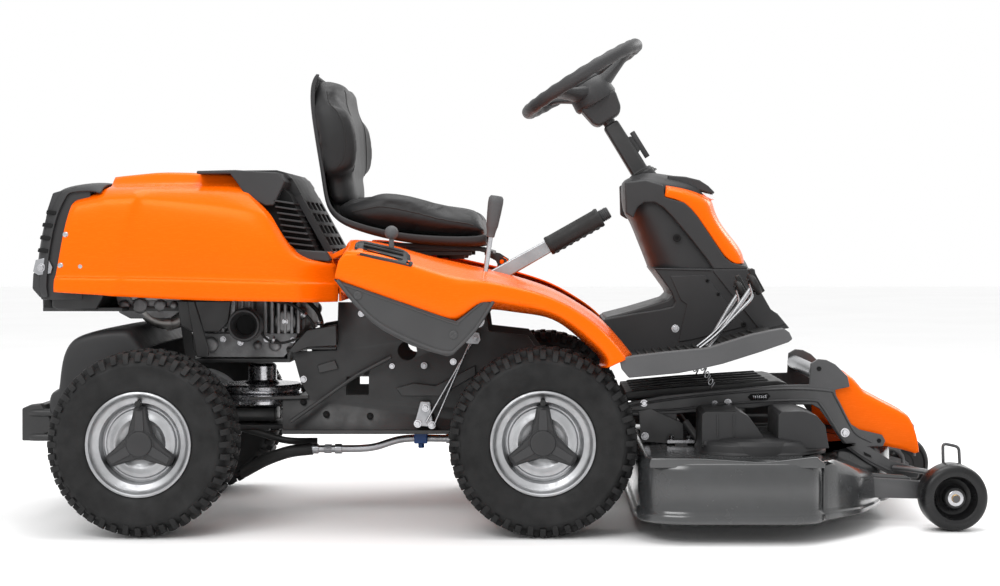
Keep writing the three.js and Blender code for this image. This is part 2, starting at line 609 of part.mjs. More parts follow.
function rearFender() {
  const outline = [[-1009, 255], [-1009, 300], [-986, 306], [-978, 376], [-963, 410], [-946, 424],
    [-888, 437], [-832, 440], [-798, 406], [-790, 396], [-790, 345], [-830, 300], [-880, 255]];
  return openBelow(side(outline, -262, 262), side(inset(outline, 6), -256, 256), 12);
}
piece("rear_fender", darkPlastic, rearFender());

function rearBar() {
  const bar = cut(block(-1070, -1046, -250, 250, 190, 262), block(-1062, -1040, -243, 243, 198, 254));
  const arm = side([[-1063, 206], [-992.5, 216], [-992.5, 252], [-1063, 254]], -165, -150);
  return union(bar, arm, mirrored(arm));
}
piece("rear_bar", blackSteel, rearBar());

// ---------------------------------------------------------------- wheels
// Turned about Y, with +w on the outer face.
const TYRE_PROFILE = [
  [102.5, 57], [112, 57.5], [132, 78], [160, TYRE_HALF_WIDTH], [190, 72], [TYRE_RADIUS, 44],
  [TYRE_RADIUS, -44], [190, -72], [160, -TYRE_HALF_WIDTH], [132, -78], [112, -57.5], [102.5, -57],
  [102.5, -46], [178, 0], [102.5, 46],
];
const RIM_PROFILE = [
  [0, 24], [42, 24], [60, 6], [96, 6], [96, 56], [108, 63], [110, 58.5], [101, 58.5],
  [101, -58.5], [110, -58.5], [108, -63], [96, -56], [96, 2], [60, 2], [40, 20], [0, 20],
];

function wheelPair(name, x) {
  for (const [place, way] of [["right", -1], ["left", 1]]) {
    const outward = RIM_PROFILE.map(([r, w]) => [r, w * way]);
    piece(`${name}_tyre_${place}`, tyreRubber, turned(TYRE_PROFILE, TYRE_FACETS), machine,
      [x, way * HALF_TRACK, AXLE_Z]);
    piece(`${name}_rim_${place}`, silverPaint, turned(outward, 16), machine,
      [x, way * HALF_TRACK, AXLE_Z]);
  }
}
wheelPair("front", FRONT_AXLE_X);
wheelPair("rear", REAR_AXLE_X);

// ---------------------------------------------------------------- cutting deck
const DECK_PLAN = [
  [300, -420], [330, -480], [390, -500], [620, -500], [680, -470], [700, -400],
  [735, -240], [760, -172], [870, -166], [900, -90], [900, 90], [870, 166],
  [760, 172], [735, 240], [700, 400], [680, 470], [620, 500], [390, 500], [330, 480], [300, 420],
];
const DECK_TOP_Z = 172;
const DECK_BOTTOM_Z = 48;
const DECK_WALL = 5;

function castorArm() {
  const arm = side([[730, 110], [960, 98], [1000, 88], [1014, 72], [1000, 56], [960, 60], [730, 66]],
    -252, -240);
  const axle = rod([CASTOR.x, -250, CASTOR_Z], [CASTOR.x, -CASTOR.y - 40, CASTOR_Z], 9);
  const loop = cut(side([[972, 88], [972, 184], [1012, 176], [1016, 78]], -250, -242),
    side([[980, 110], [980, 174], [1004, 169], [1006, 110]], -260, -230));
  return union(arm, axle, loop);
}

function deckShell() {
  const outer = plan(DECK_PLAN, DECK_BOTTOM_Z, DECK_TOP_Z);
  const hollow = plan(inset(DECK_PLAN, DECK_WALL), DECK_BOTTOM_Z - 10, DECK_TOP_Z - DECK_WALL);
  const skirt = cut(plan(inset(DECK_PLAN, -4), DECK_BOTTOM_Z, DECK_BOTTOM_Z + 12),
    plan(inset(DECK_PLAN, 1), DECK_BOTTOM_Z - 10, DECK_BOTTOM_Z + 20));
  const spindleHoles = BLADES.map(([, x, y]) => rod([x, y, 150], [x, y, 190], 13));
  const tower = block(350, 400, -DECK_FRAME_Y + 0.5, -150, 170, 275);
  const shell = cut(union(outer, skirt), hollow);
  return union(cut(shell, ...spindleHoles), tower, mirrored(tower), castorArm(), mirrored(castorArm()));
}
const BLADES = [["right", 490, -318], ["center", 690, 0], ["left", 490, 318]];
piece("deck_shell", deckSteel, deckShell());

const DECK_SIDE = [
  [140, 240], [147, 222], [165, 215], [183, 222], [230, 240], [315, 252], [452, 256], [679, 268],
  [715, 250], [761, 161], [793, 100], [872, 64], [917, 62], [948, 92], [906, 118], [829, 165],
  [793, 229], [777, 270], [790, 304], [770, 352], [738, 366], [706, 362], [672, 330], [656, 309],
  [452, 288], [315, 281], [183, 262], [165, 266], [147, 258],
];

// One side of the deck's lifting frame; it turns on the main frame's pin.
function deckSide() {
  const pinHole = rod([DECK_PIVOT.x, -250, DECK_PIVOT.z], [DECK_PIVOT.x, -150, DECK_PIVOT.z], 12.5);
  const plate = side(DECK_SIDE, -DECK_FRAME_Y - 7, -DECK_FRAME_Y);
  const deckZone = plan(inset(DECK_PLAN, -8), 0, DECK_TOP_Z + 1);
  return cut(plate, pinHole, deckZone, castorArm());
}

function deckFrame() {
  const half = DECK_FRAME_Y + 1;
  const crossTube = rod([716, -half, 330], [716, half, 330], 17, 18);
  return union(deckSide(), mirrored(deckSide()), crossTube);
}
piece("deck_frame", blackSteel, deckFrame());

const COVER_SIDE = [
  [757, 337], [780, 336], [802, 326], [825, 294], [913, 249], [936, 231], [950, 185], [953, 153],
  [905, 178], [757, 178],
];
function deckFrontCover() {
  const half = DECK_FRAME_Y - 8;
  return openBelow(side(COVER_SIDE, -half, half),
    side(inset(COVER_SIDE, 4), -half + 4, half - 4), 14);
}
piece("deck_front_cover", orangePlastic, deckFrontCover());

function beltCover() {
  const outline = [[440, DECK_TOP_Z + 1], [443, 262], [518, 262], [576, 205], [600, 205], [603, 264],
    [655, 268], [696, 232], [716, DECK_TOP_Z + 1]];
  const footprint = [[430, -400], [500, -440], [640, -430], [725, -340], [725, -195], [430, -195]];
  return openBelow(side(outline, -440, -195).intersect(plan(footprint, 100, 300)),
    side(inset(outline, 4), -436, -199).intersect(plan(inset(footprint, 4), 100, 300)), 10);
}
piece("belt_cover_right", darkPlastic, beltCover());
piece("belt_cover_left", darkPlastic, mirrored(beltCover()));

// A blade with its spindle and belt pulley; z is up from the blade.
function blade() {
  const bar = block(-160, 160, -26, 26, -3, 3);
  const spindle = rod([0, 0, -14], [0, 0, 122], 12);
  const pulley = turnedUpright([[0, 110], [44, 110], [36, 116], [44, 122], [0, 122]], 20);
  return union(bar, spindle, pulley);
}
for (const [place, x, y] of BLADES) piece(`blade_${place}`, zincSteel, blade(), machine, [x, y, BLADE_Z]);

const CASTOR_PROFILE = [
  [10, 38], [22, 38], [24, 18], [48, 18], [54, CASTOR.halfWidth], [64, CASTOR.halfWidth],
  [CASTOR.radius, 24], [CASTOR.radius, -24], [64, -CASTOR.halfWidth], [10, -38],
];
for (const [place, way] of [["right", -1], ["left", 1]]) {
  piece(`castor_wheel_${place}`, tyreRubber, turned(CASTOR_PROFILE, CASTOR.facets), machine,
    [CASTOR.x, way * CASTOR.y, CASTOR_Z]);
}

export default machine;
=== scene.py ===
"""The looks of the articulated riding mower, built round its CAD frame. Millimetres in, metres out."""
import math

import bmesh
import bpy
from mathutils import Matrix, Vector


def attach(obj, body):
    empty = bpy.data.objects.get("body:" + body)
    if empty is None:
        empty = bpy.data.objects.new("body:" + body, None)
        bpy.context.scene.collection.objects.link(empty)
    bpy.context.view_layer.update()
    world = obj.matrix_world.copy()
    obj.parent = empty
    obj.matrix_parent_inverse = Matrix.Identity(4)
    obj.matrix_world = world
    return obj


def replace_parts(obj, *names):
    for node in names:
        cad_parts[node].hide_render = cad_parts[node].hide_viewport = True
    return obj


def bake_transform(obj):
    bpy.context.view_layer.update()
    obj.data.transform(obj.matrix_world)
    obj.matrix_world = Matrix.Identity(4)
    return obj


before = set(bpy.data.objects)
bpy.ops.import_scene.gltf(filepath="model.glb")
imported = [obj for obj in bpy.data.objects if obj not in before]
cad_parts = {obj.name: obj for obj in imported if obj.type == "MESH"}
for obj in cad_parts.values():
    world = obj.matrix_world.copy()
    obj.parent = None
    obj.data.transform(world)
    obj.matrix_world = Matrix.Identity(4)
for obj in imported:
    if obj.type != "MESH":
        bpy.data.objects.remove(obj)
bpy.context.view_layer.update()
scene = bpy.context.scene
MM = 0.001
TAU = 2 * math.pi


# ------------------------------------------------------------------ camera, light, floor
def make_camera():
    """A long lens at eye level, square to the machine's right side."""
    data = bpy.data.cameras.new("camera")
    data.sensor_width = 36.0
    data.lens = 63.72
    data.shift_x = -0.043
    data.shift_y = -0.053
    data.clip_end = 100.0
    camera = bpy.data.objects.new("camera", data)
    camera.location = (0.095, -4.2, 0.638)
    camera.rotation_euler = (math.pi / 2, 0, 0)
    scene.collection.objects.link(camera)
    scene.camera = camera


def area_light(name, place, target, size, power):
    """A white softbox at a place, turned towards a target."""
    data = bpy.data.lights.new(name, "AREA")
    data.shape = "RECTANGLE"
    data.size, data.size_y = size
    data.energy = power
    light = bpy.data.objects.new(name, data)
    light.location = place
    aim = Vector(target) - Vector(place)
    light.rotation_euler = aim.to_track_quat("-Z", "Y").to_euler()
    scene.collection.objects.link(light)


def make_lights():
    world = bpy.data.worlds.new("studio")
    world.use_nodes = True
    background = world.node_tree.nodes["Background"]
    background.inputs["Color"].default_value = (1.0, 1.0, 1.0, 1)
    background.inputs["Strength"].default_value = 1.0
    scene.world = world
    area_light("key", (-1.6, -3.6, 3.4), (0, 0, 0.5), (2.6, 1.8), 90)
    area_light("top", (0.2, 0.1, 3.6), (0, 0, 0.4), (3.5, 2.5), 90)
    area_light("rim", (2.6, 2.6, 2.4), (0.2, 0, 0.5), (2.0, 1.4), 40)
    scene.view_settings.view_transform = "Standard"
    scene.view_settings.look = "None"


make_camera()
make_lights()


# ------------------------------------------------------------------ materials
class Nodes:
    """A short way to wire up one material's nodes."""

    def __init__(self, name):
        self.material = bpy.data.materials.new(name)
        self.material.use_nodes = True
        self.tree = self.material.node_tree
        self.shader = self.tree.nodes["Principled BSDF"]
        self.place = self.new("ShaderNodeTexCoord").outputs["Object"]

    def new(self, kind, **settings):
        node = self.tree.nodes.new(kind)
        for key, value in settings.items():
            setattr(node, key, value)
        return node

    def link(self, source, target):
        self.tree.links.new(source, target)

    def set(self, **values):
        for key, value in values.items():
            self.shader.inputs[key.replace("_", " ")].default_value = value

    def texture(self, kind, scale, stretch=(1, 1, 1)):
        """A texture laid out in the object's own space, finer along the axes that stretch raises."""
        mapping = self.new("ShaderNodeMapping")
        mapping.inputs["Scale"].default_value = stretch
        self.link(self.place, mapping.inputs["Vector"])
        node = self.new(kind)
        node.inputs["Scale"].default_value = scale
        self.link(mapping.outputs["Vector"], node.inputs["Vector"])
        return node

    def noise(self, scale, detail=3.0, rough=0.5, stretch=(1, 1, 1)):
        node = self.texture("ShaderNodeTexNoise", scale, stretch)
        node.inputs["Detail"].default_value = detail
        node.inputs["Roughness"].default_value = rough
        return node.outputs["Fac"]

    def cells(self, scale):
        return self.texture("ShaderNodeTexVoronoi", scale).outputs["Distance"]

    def ramp(self, source, low, high, start=0.3, end=0.7):
        """low and high are colours, or numbers for a grey."""
        node = self.new("ShaderNodeValToRGB")
        for element, at, value in zip(node.color_ramp.elements, (start, end), (low, high)):
            element.position = at
            element.color = (*value, 1) if isinstance(value, tuple) else (value, value, value, 1)
        self.link(source, node.inputs["Fac"])
        return node.outputs["Color"]

    def mix(self, fac, a, b):
        node = self.new("ShaderNodeMix", data_type="RGBA")
        for value, key in ((fac, 0), (a, 6), (b, 7)):
            if isinstance(value, bpy.types.NodeSocket):
                self.link(value, node.inputs[key])
            elif isinstance(value, tuple):
                node.inputs[key].default_value = (*value, 1)
            else:
                node.inputs[key].default_value = value
        return node.outputs[2]

    def height(self, *layers):
        """Layers of (height, strength in metres) make one bump."""
        normal = None
        for source, distance in layers:
            bump = self.new("ShaderNodeBump")
            bump.inputs["Strength"].default_value = 1.0
            bump.inputs["Distance"].default_value = distance
            self.link(source, bump.inputs["Height"])
            if normal:
                self.link(normal, bump.inputs["Normal"])
            normal = bump.outputs["Normal"]
        self.link(normal, self.shader.inputs["Normal"])

    def edges(self, low=0.5, high=0.6):
        """1 on convex edges, 0 elsewhere."""
        geometry = self.new("ShaderNodeNewGeometry")
        return self.ramp(geometry.outputs["Pointiness"], 0.0, 1.0, low, high)


def tinted(color, factor):
    return tuple(c * factor for c in color)


def plastic(name, color, roughness, grain=1800.0, depth=0.00004, wear=1.5):
    """Moulded plastic with a fine grain, faint mottling and paler edges."""
    n = Nodes(name)
    mottle = n.ramp(n.noise(9.0, 4.0), tinted(color, 0.9), tinted(color, 1.1))
    worn = n.mix(n.edges(0.51, 0.6), mottle, tinted(color, wear))
    n.link(worn, n.shader.inputs["Base Color"])
    n.link(n.ramp(n.noise(40.0, 3.0), roughness - 0.06, roughness + 0.06),
           n.shader.inputs["Roughness"])
    n.set(Specular_IOR_Level=0.3)
    n.height((n.cells(grain), depth))
    return n.material


def gloss_plastic(name, color, roughness=0.25):
    """Glossy moulded plastic: slight flow marks and fine scratches."""
    n = Nodes(name)
    base = n.ramp(n.noise(4.0, 2.0), tinted(color, 0.965), tinted(color, 1.03))
    n.link(base, n.shader.inputs["Base Color"])
    scratches = n.noise(60.0, 4.0, 0.7, (1, 1, 9))
    n.link(n.ramp(scratches, roughness - 0.04, roughness + 0.09, 0.35, 0.75),
           n.shader.inputs["Roughness"])
    n.set(Coat_Weight=0.03, Coat_Roughness=0.12, Specular_IOR_Level=0.4,
          Specular_Tint=(1.0, 0.5, 0.14, 1.0))
    n.height((n.noise(26.0, 2.0), 0.00022), (n.noise(900.0, 2.0), 0.000012))
    return n.material


def painted_steel(name, color, roughness=0.38, peel=0.00005, coat=0.3):
    """Powder-coated steel: orange peel, worn edges and a little dust."""
    n = Nodes(name)
    dust = n.ramp(n.noise(6.0, 5.0, 0.6), tinted(color, 0.8), tinted(color, 1.35))
    worn = n.mix(n.edges(0.53, 0.63), dust, tuple(c * 1.6 + 0.03 for c in color))
    n.link(worn, n.shader.inputs["Base Color"])
    n.link(n.ramp(n.noise(30.0, 4.0, 0.6), roughness - 0.08, roughness + 0.1),
           n.shader.inputs["Roughness"])
    n.set(Metallic=0.0, Coat_Weight=coat, Coat_Roughness=0.2)
    n.height((n.noise(420.0, 2.0), peel))
    return n.material


def bare_metal(name, color, roughness=0.3, stretch=(1, 1, 1), grain=220.0):
    """Plated, brushed or drawn metal with streaks and a few dull spots."""
    n = Nodes(name)
    base = n.ramp(n.noise(14.0, 4.0, 0.6), tinted(color, 0.8), tinted(color, 1.1))
    n.link(base, n.shader.inputs["Base Color"])
    streaks = n.noise(grain, 4.0, 0.65, stretch)
    n.link(n.ramp(streaks, roughness - 0.1, roughness + 0.14), n.shader.inputs["Roughness"])
    n.set(Metallic=1.0)
    n.height((streaks, 0.00003))
    return n.material


def cast_metal(name, color, roughness=0.5):
    """Sand-cast aluminium with a pebbly skin and patchy grime."""
    n = Nodes(name)
    grime = n.ramp(n.noise(11.0, 6.0, 0.65), tinted(color, 0.45), color, 0.35, 0.62)
    n.link(grime, n.shader.inputs["Base Color"])
    n.link(n.ramp(n.noise(25.0, 3.0), roughness - 0.1, roughness + 0.15),
           n.shader.inputs["Roughness"])
    n.set(Metallic=0.75)
    n.height((n.cells(330.0), 0.00025), (n.noise(70.0, 3.0), 0.0004))
    return n.material


def rubber(name, color, roughness=0.7, grain=600.0, dust=1.7):
    """Tyre or grip rubber with a bloom of pale dust."""
    n = Nodes(name)
    bloom = n.ramp(n.noise(13.0, 6.0, 0.65), tinted(color, 0.75), tinted(color, dust), 0.35, 0.75)
    worn = n.mix(n.edges(0.53, 0.66), bloom, tinted(color, dust * 1.25))
    n.link(worn, n.shader.inputs["Base Color"])
    n.link(n.ramp(n.noise(35.0, 3.0), roughness - 0.12, roughness + 0.1),
           n.shader.inputs["Roughness"])
    n.set(Specular_IOR_Level=0.3)
    n.height((n.noise(grain, 3.0), 0.00006), (n.noise(90.0, 2.0), 0.0002))
    return n.material


def vinyl(name, color, roughness=0.5):
    """Grained upholstery vinyl with soft wrinkles."""
    n = Nodes(name)
    base = n.ramp(n.noise(7.0, 3.0), tinted(color, 0.85), tinted(color, 1.2))
    grain = n.cells(620.0)
    shade = n.mix(n.ramp(grain, 0.0, 0.35, 0.0, 0.5), base, tinted(color, 1.5))
    n.link(shade, n.shader.inputs["Base Color"])
    n.link(n.ramp(grain, roughness + 0.1, roughness - 0.04, 0.0, 0.5), n.shader.inputs["Roughness"])
    n.set(Sheen_Weight=0.04, Sheen_Roughness=0.4, Specular_IOR_Level=0.3)
    n.height((grain, 0.00018), (n.noise(30.0, 3.0), 0.0004))
    return n.material


ORANGE = (0.90, 0.118, 0.001)
mat_orange = gloss_plastic("orange_plastic", ORANGE)
mat_dark = plastic("dark_plastic", (0.026, 0.026, 0.027), 0.5)
mat_tower = plastic("tower_plastic", (0.022, 0.022, 0.023), 0.46)
mat_grey = plastic("grey_plastic", (0.066, 0.066, 0.068), 0.55)
mat_wheel_rim = plastic("steering_plastic", (0.03, 0.03, 0.031), 0.5, 1400.0)
mat_frame = painted_steel("frame_paint", (0.009, 0.009, 0.0095), 0.5, 0.00005, 0.05)
mat_deck_paint = painted_steel("deck_paint", (0.024, 0.025, 0.026), 0.2, 0.00003, 0.6)
mat_deck_frame = painted_steel("deck_frame_paint", (0.046, 0.046, 0.048), 0.4, 0.00005, 0.15)
mat_black = painted_steel("black_paint", (0.007, 0.007, 0.0075), 0.45, 0.00005, 0.1)
mat_zinc = bare_metal("zinc", (0.36, 0.365, 0.38), 0.34)
mat_bright = bare_metal("bright_steel", (0.52, 0.52, 0.54), 0.22)
mat_lever = bare_metal("lever_steel", (0.36, 0.365, 0.375), 0.36, (1, 1, 14))
mat_cast = cast_metal("cast_metal", (0.26, 0.26, 0.265))
mat_exhaust = bare_metal("exhaust_steel", (0.34, 0.33, 0.32), 0.45)
mat_hose = rubber("hose_rubber", (0.010, 0.010, 0.010), 0.55)
mat_tyre = rubber("tyre_rubber", (0.0075, 0.0075, 0.0077), 0.72)
mat_castor = rubber("castor_rubber", (0.009, 0.009, 0.0095), 0.34, 300.0, 1.3)
mat_rim = bare_metal("rim_paint", (0.40, 0.405, 0.415), 0.42, (1, 1, 1), 60.0)
mat_vinyl = vinyl("seat_vinyl", (0.0085, 0.0085, 0.009))
mat_brass = bare_metal("brass", (0.62, 0.42, 0.2), 0.35)
mat_blue = plastic("blue_plastic", (0.006, 0.03, 0.11), 0.4)
mat_trim = plastic("trim_plastic", (0.043, 0.043, 0.044), 0.52)
# Near-black painted shadow: stands in for the shade in holes, slots, openings and low under the
# bodywork.
mat_painted_shadow = plastic("shadow_plastic", (0.003, 0.003, 0.0032), 0.8)


def glass(name):
    n = Nodes(name)
    ribs = n.new("ShaderNodeTexWave", wave_type="BANDS", bands_direction="Y")
    ribs.inputs["Scale"].default_value = 60.0
    n.link(n.place, ribs.inputs["Vector"])
    n.link(n.ramp(n.noise(20.0), (0.8, 0.82, 0.84), (0.9, 0.91, 0.92)), n.shader.inputs["Base Color"])
    n.set(Roughness=0.12, Metallic=0.55, Coat_Weight=1.0, Coat_Roughness=0.03)
    n.height((ribs.outputs["Fac"], 0.0004))
    return n.material


mat_lens = glass("headlight_glass")


def floor_material():
    n = Nodes("studio_floor")
    n.link(n.ramp(n.noise(1.2, 3.0), 0.93, 0.96), n.shader.inputs["Base Color"])
    n.link(n.ramp(n.noise(5.0), 0.55, 0.65), n.shader.inputs["Roughness"])
    return n.material


# ------------------------------------------------------------------ making and placing pieces
def mesh_object(name, bm, material, body=None, smooth=35.0):
    """One piece from a bmesh in millimetres."""
    bmesh.ops.scale(bm, vec=(MM, MM, MM), verts=bm.verts)
    bmesh.ops.recalc_face_normals(bm, faces=bm.faces)
    data = bpy.data.meshes.new(name)
    bm.to_mesh(data)
    bm.free()
    obj = bpy.data.objects.new(name, data)
    scene.collection.objects.link(obj)
    data.materials.append(material)
    shade(obj, smooth)
    if body:
        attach(obj, body)
    return obj


def shade(obj, angle):
    data = obj.data
    data.shade_smooth()
    if angle < 180:
        data.set_sharp_from_angle(angle=math.radians(angle))


def soften(obj, levels=1):
    softening = obj.modifiers.new("softening", "SUBSURF")
    softening.levels = softening.render_levels = levels


def add_floor():
    bm = bmesh.new()
    bmesh.ops.create_grid(bm, x_segments=2, y_segments=2, size=20000)
    floor = mesh_object("studio_floor", bm, floor_material())
    floor.location.z = -0.0005


add_floor()

# ------------------------------------------------------------------ CAD nodes that keep their shape
NODE_MATERIALS = {
    "main_frame": mat_frame, "seat_bracket": mat_frame, "front_axle": mat_black,
    "engine_subframe": mat_black, "carriage_frame": mat_black, "rear_transaxle": mat_black,
    "body_center_deck": mat_orange, "column_knob": mat_dark, "bellcrank": mat_zinc,
    "blade_right": mat_zinc, "blade_center": mat_zinc, "blade_left": mat_zinc,
}
NODE_BEVEL = 1.2  # millimetres


def round_edges(obj, width, segments, angle):
    """A bevel, in millimetres, along the edges that turn by more than an angle in degrees."""
    rounding = obj.modifiers.new("rounding", "BEVEL")
    rounding.width = width * MM
    rounding.segments = segments
    rounding.limit_method = "ANGLE"
    rounding.angle_limit = math.radians(angle)


def dress_node(name, material):
    """Gives a CAD node its material and slightly rounded edges."""
    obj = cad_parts[name]
    obj.data.materials.clear()
    obj.data.materials.append(material)
    weld = obj.modifiers.new("weld", "WELD")
    weld.merge_threshold = 1e-5
    round_edges(obj, NODE_BEVEL, 2, 25)
    shade(obj, 40)


for node_name, node_material in NODE_MATERIALS.items():
    dress_node(node_name, node_material)


# ------------------------------------------------------------------ shaping tools
def turns(count):
    """Angles evenly spaced round a full turn."""
    return [TAU * k / count for k in range(count)]


class Shape:
    """Solids in millimetres, gathered into one piece. Side outlines are lists of (x, z)."""

    def __init__(self):
        self.bm = bmesh.new()
        self.crease = self.bm.edges.layers.float.new("crease_edge")

    def ring(self, points):
        return [self.bm.verts.new(point) for point in points]

    def skin(self, rings, closed=True, caps=True):
        """Quads between rings of equal length; caps close the two ends."""
        size = len(rings[0])
        last = size if closed else size - 1
        for a, b in zip(rings, rings[1:]):
            for i in range(last):
                j = (i + 1) % size
                self.bm.faces.new((a[i], a[j], b[j], b[i]))
        if caps and closed:
            self.bm.faces.new(rings[0][::-1])
            self.bm.faces.new(rings[-1])

    def prism(self, outline, y0, y1):
        """A side outline drawn out from y0 to y1."""
        self.skin([self.ring([(x, y, z) for x, z in outline]) for y in (y0, y1)])
        return self

    def slab(self, outline, sign, y0, y1):
        """A side outline between two distances from the middle, on the side that sign gives."""
        return self.prism(outline, *sorted((sign * y0, sign * y1)))

    def plan(self, outline, z0, z1):
        """A top outline, a list of (x, y), drawn out from z0 to z1."""
        self.skin([self.ring([(x, y, z) for x, y in outline]) for z in (z0, z1)])
        return self

    def block(self, x0, x1, y0, y1, z0, z1):
        return self.plan([(x0, y0), (x1, y0), (x1, y1), (x0, y1)], z0, z1)

    def frame_of(self, along):
        """Two directions square to a direction."""
        along = Vector(along).normalized()
        side = along.cross(Vector((0, 0, 1)))
        if side.length < 0.05:
            side = Vector((0, 1, 0))
        side.normalize()
        return side, along.cross(side)

    def circle(self, centre, u, v, radius, segments):
        return self.ring([centre + radius * (u * math.cos(a) + v * math.sin(a))
                          for a in turns(segments)])

    def rod(self, start, end, radius, end_radius=None, segments=20):
        start, end = Vector(start), Vector(end)
        u, v = self.frame_of(end - start)
        far_radius = radius if end_radius is None else end_radius
        self.skin([self.circle(start, u, v, radius, segments),
                   self.circle(end, u, v, far_radius, segments)])
        return self

    def tube(self, path, radius, segments=14, flat=1.0):
        """A round bar along a path; flat squeezes it in its second direction."""
        path = [Vector(p) for p in path]
        rings = []
        u = v = None
        for i, point in enumerate(path):
            ahead = path[min(i + 1, len(path) - 1)] - path[max(i - 1, 0)]
            if u is None:
                u, v = self.frame_of(ahead)
            else:
                along = ahead.normalized()
                u = (u - along * u.dot(along)).normalized()
                v = along.cross(u)
            r = radius(i / (len(path) - 1)) if callable(radius) else radius
            rings.append(self.circle(point, u, flat * v, r, segments))
        self.skin(rings)
        return self

    def lathe(self, profile, centre, axis="y", segments=96, out=1, hollow=False):
        """A profile of (radius, along) turned about an axis; a hollow one closes on itself."""
        rings = []
        for radius, along in profile:
            ring = []
            for angle in turns(segments):
                c, s, a = radius * math.cos(angle), radius * math.sin(angle), along * out
                place = {"x": (a, c, s), "y": (c, a, s), "z": (c, s, a)}[axis]
                ring.append(Vector(centre) + Vector(place))
            rings.append(self.ring(ring))
        self.skin(rings + rings[:1] if hollow else rings, caps=not hollow)
        return self

    def sheet(self, rows, row_creases=None, column_creases=None, mirror=False):
        """A skin over rows of points, with soft or sharp lines along rows and columns."""
        rings = [self.ring(row) for row in rows]
        self.skin(rings, closed=False, caps=False)
        self.bm.edges.ensure_lookup_table()
        for index, weight in (row_creases or {}).items():
            for a, b in zip(rings[index], rings[index][1:]):
                self.sharpen(a, b, weight)
        for index, weight in (column_creases or {}).items():
            for upper, lower in zip(rings, rings[1:]):
                self.sharpen(upper[index], lower[index], weight)
        if mirror:
            self.mirror()
        return self

    def sharpen(self, a, b, weight):
        edge = self.bm.edges.get((a, b))
        if edge:
            edge[self.crease] = weight

    def mirror(self):
        """Adds the other side of what is there, and joins the two in the middle."""
        copy = bmesh.ops.duplicate(self.bm, geom=self.bm.verts[:] + self.bm.edges[:]
                                   + self.bm.faces[:])["geom"]
        twins = [item for item in copy if isinstance(item, bmesh.types.BMVert)]
        bmesh.ops.scale(self.bm, vec=(1, -1, 1), verts=twins)
        bmesh.ops.reverse_faces(self.bm, faces=[f for f in copy
                                                if isinstance(f, bmesh.types.BMFace)])
        bmesh.ops.remove_doubles(self.bm, verts=self.bm.verts, dist=0.02)
        return self

    def add(self, other):
        """Takes in another shape as it stands."""
        data = bpy.data.meshes.new("part")
        other.bm.to_mesh(data)
        self.bm.from_mesh(data)
        bpy.data.meshes.remove(data)

    def move(self, matrix):
        bmesh.ops.transform(self.bm, matrix=matrix, verts=self.bm.verts)
        return self

    def piece(self, name, material, body, slot, bevel=0.0, smooth=35, levels=0, thick=0.0,
              sides=2, angle=28):
        """Finishes the shape as a named piece that rides on a body."""
        obj = mesh_object(name, self.bm, material, body, smooth)
        if thick:
            solid = obj.modifiers.new("thickness", "SOLIDIFY")
            solid.thickness = thick * MM
            solid.offset = 0
        if levels:
            soften(obj, levels)
        if bevel:
            round_edges(obj, bevel, sides, angle)
        return obj


def smooth_path(points, steps=8):
    """A curve through the points."""
    points = [Vector(p) for p in points]
    padded = [2 * points[0] - points[1]] + points + [2 * points[-1] - points[-2]]
    path = []
    for i in range(1, len(padded) - 2):
        p0, p1, p2, p3 = padded[i - 1:i + 3]
        for k in range(steps):
            t = k / steps
            path.append(0.5 * ((2 * p1) + (p2 - p0) * t + (2 * p0 - 5 * p1 + 4 * p2 - p3) * t * t
                               + (3 * p1 - p0 - 3 * p2 + p3) * t ** 3))
    path.append(points[-1])
    return path


def bend(before, corner, after, radius, steps):
    """The rounded corner between two straight runs."""
    a, b = before - corner, after - corner
    reach = min(radius, a.length * 0.48, b.length * 0.48)
    start, end = corner + a.normalized() * reach, corner + b.normalized() * reach
    return [(1 - t) ** 2 * start + 2 * t * (1 - t) * corner + t * t * end
            for t in [k / steps for k in range(steps + 1)]]


def bent_path(points, radius):
    """Straight runs with rounded bends."""
    points = [Vector(p) for p in points]
    path = [points[0]]
    for before, corner, after in zip(points, points[1:], points[2:]):
        path += bend(before, corner, after, radius, 6)
    return path + [points[-1]]


def carve(obj, cutter):
    """Takes the cutter shape out of a piece for good."""
    tool = mesh_object("cutter", cutter.bm, mat_dark)
    cut = obj.modifiers.new("cut", "BOOLEAN")
    cut.object = tool
    cut.solver = "EXACT"
    obj.modifiers.move(len(obj.modifiers) - 1, 0)
    other = [m for m in obj.modifiers if m != cut]
    for m in other:
        m.show_viewport = False
    shown = obj.evaluated_get(bpy.context.evaluated_depsgraph_get())
    result = bpy.data.meshes.new_from_object(shown)
    obj.modifiers.remove(cut)
    for m in other:
        m.show_viewport = True
    obj.data = result
    bpy.data.objects.remove(tool)
    shade(obj, 35)
    return obj


def bolt(shape, place, axis="y", radius=7.0, height=5.0, out=-1, washer=True):
    """A flanged hex bolt head that stands out along an axis."""
    unit = Vector({"x": (1, 0, 0), "y": (0, 1, 0), "z": (0, 0, 1)}[axis]) * out
    base = Vector(place)
    if washer:
        shape.rod(base, base + unit * 1.5, radius * 1.35, radius * 1.3, 24)
    shape.rod(base + unit * 1.4, base + unit * height, radius * 0.95, radius * 0.86, 6)


def lay_on(obj, point, lift):
    """The place on obj's surface nearest to a point in millimetres, lifted off it."""
    shown = obj.evaluated_get(bpy.context.evaluated_depsgraph_get())
    inside = obj.matrix_world.inverted() @ (Vector(point) * MM)
    _, place, normal, _ = shown.closest_point_on_mesh(inside)
    if lift > 0 and normal.dot(inside - place) < 0:
        normal = -normal
    return obj.matrix_world @ (place + normal * lift * MM) / MM


def on_both_sides(make):
    """Calls make(name suffix, sign of y) for the right and the left side."""
    make("right", -1)
    make("left", 1)


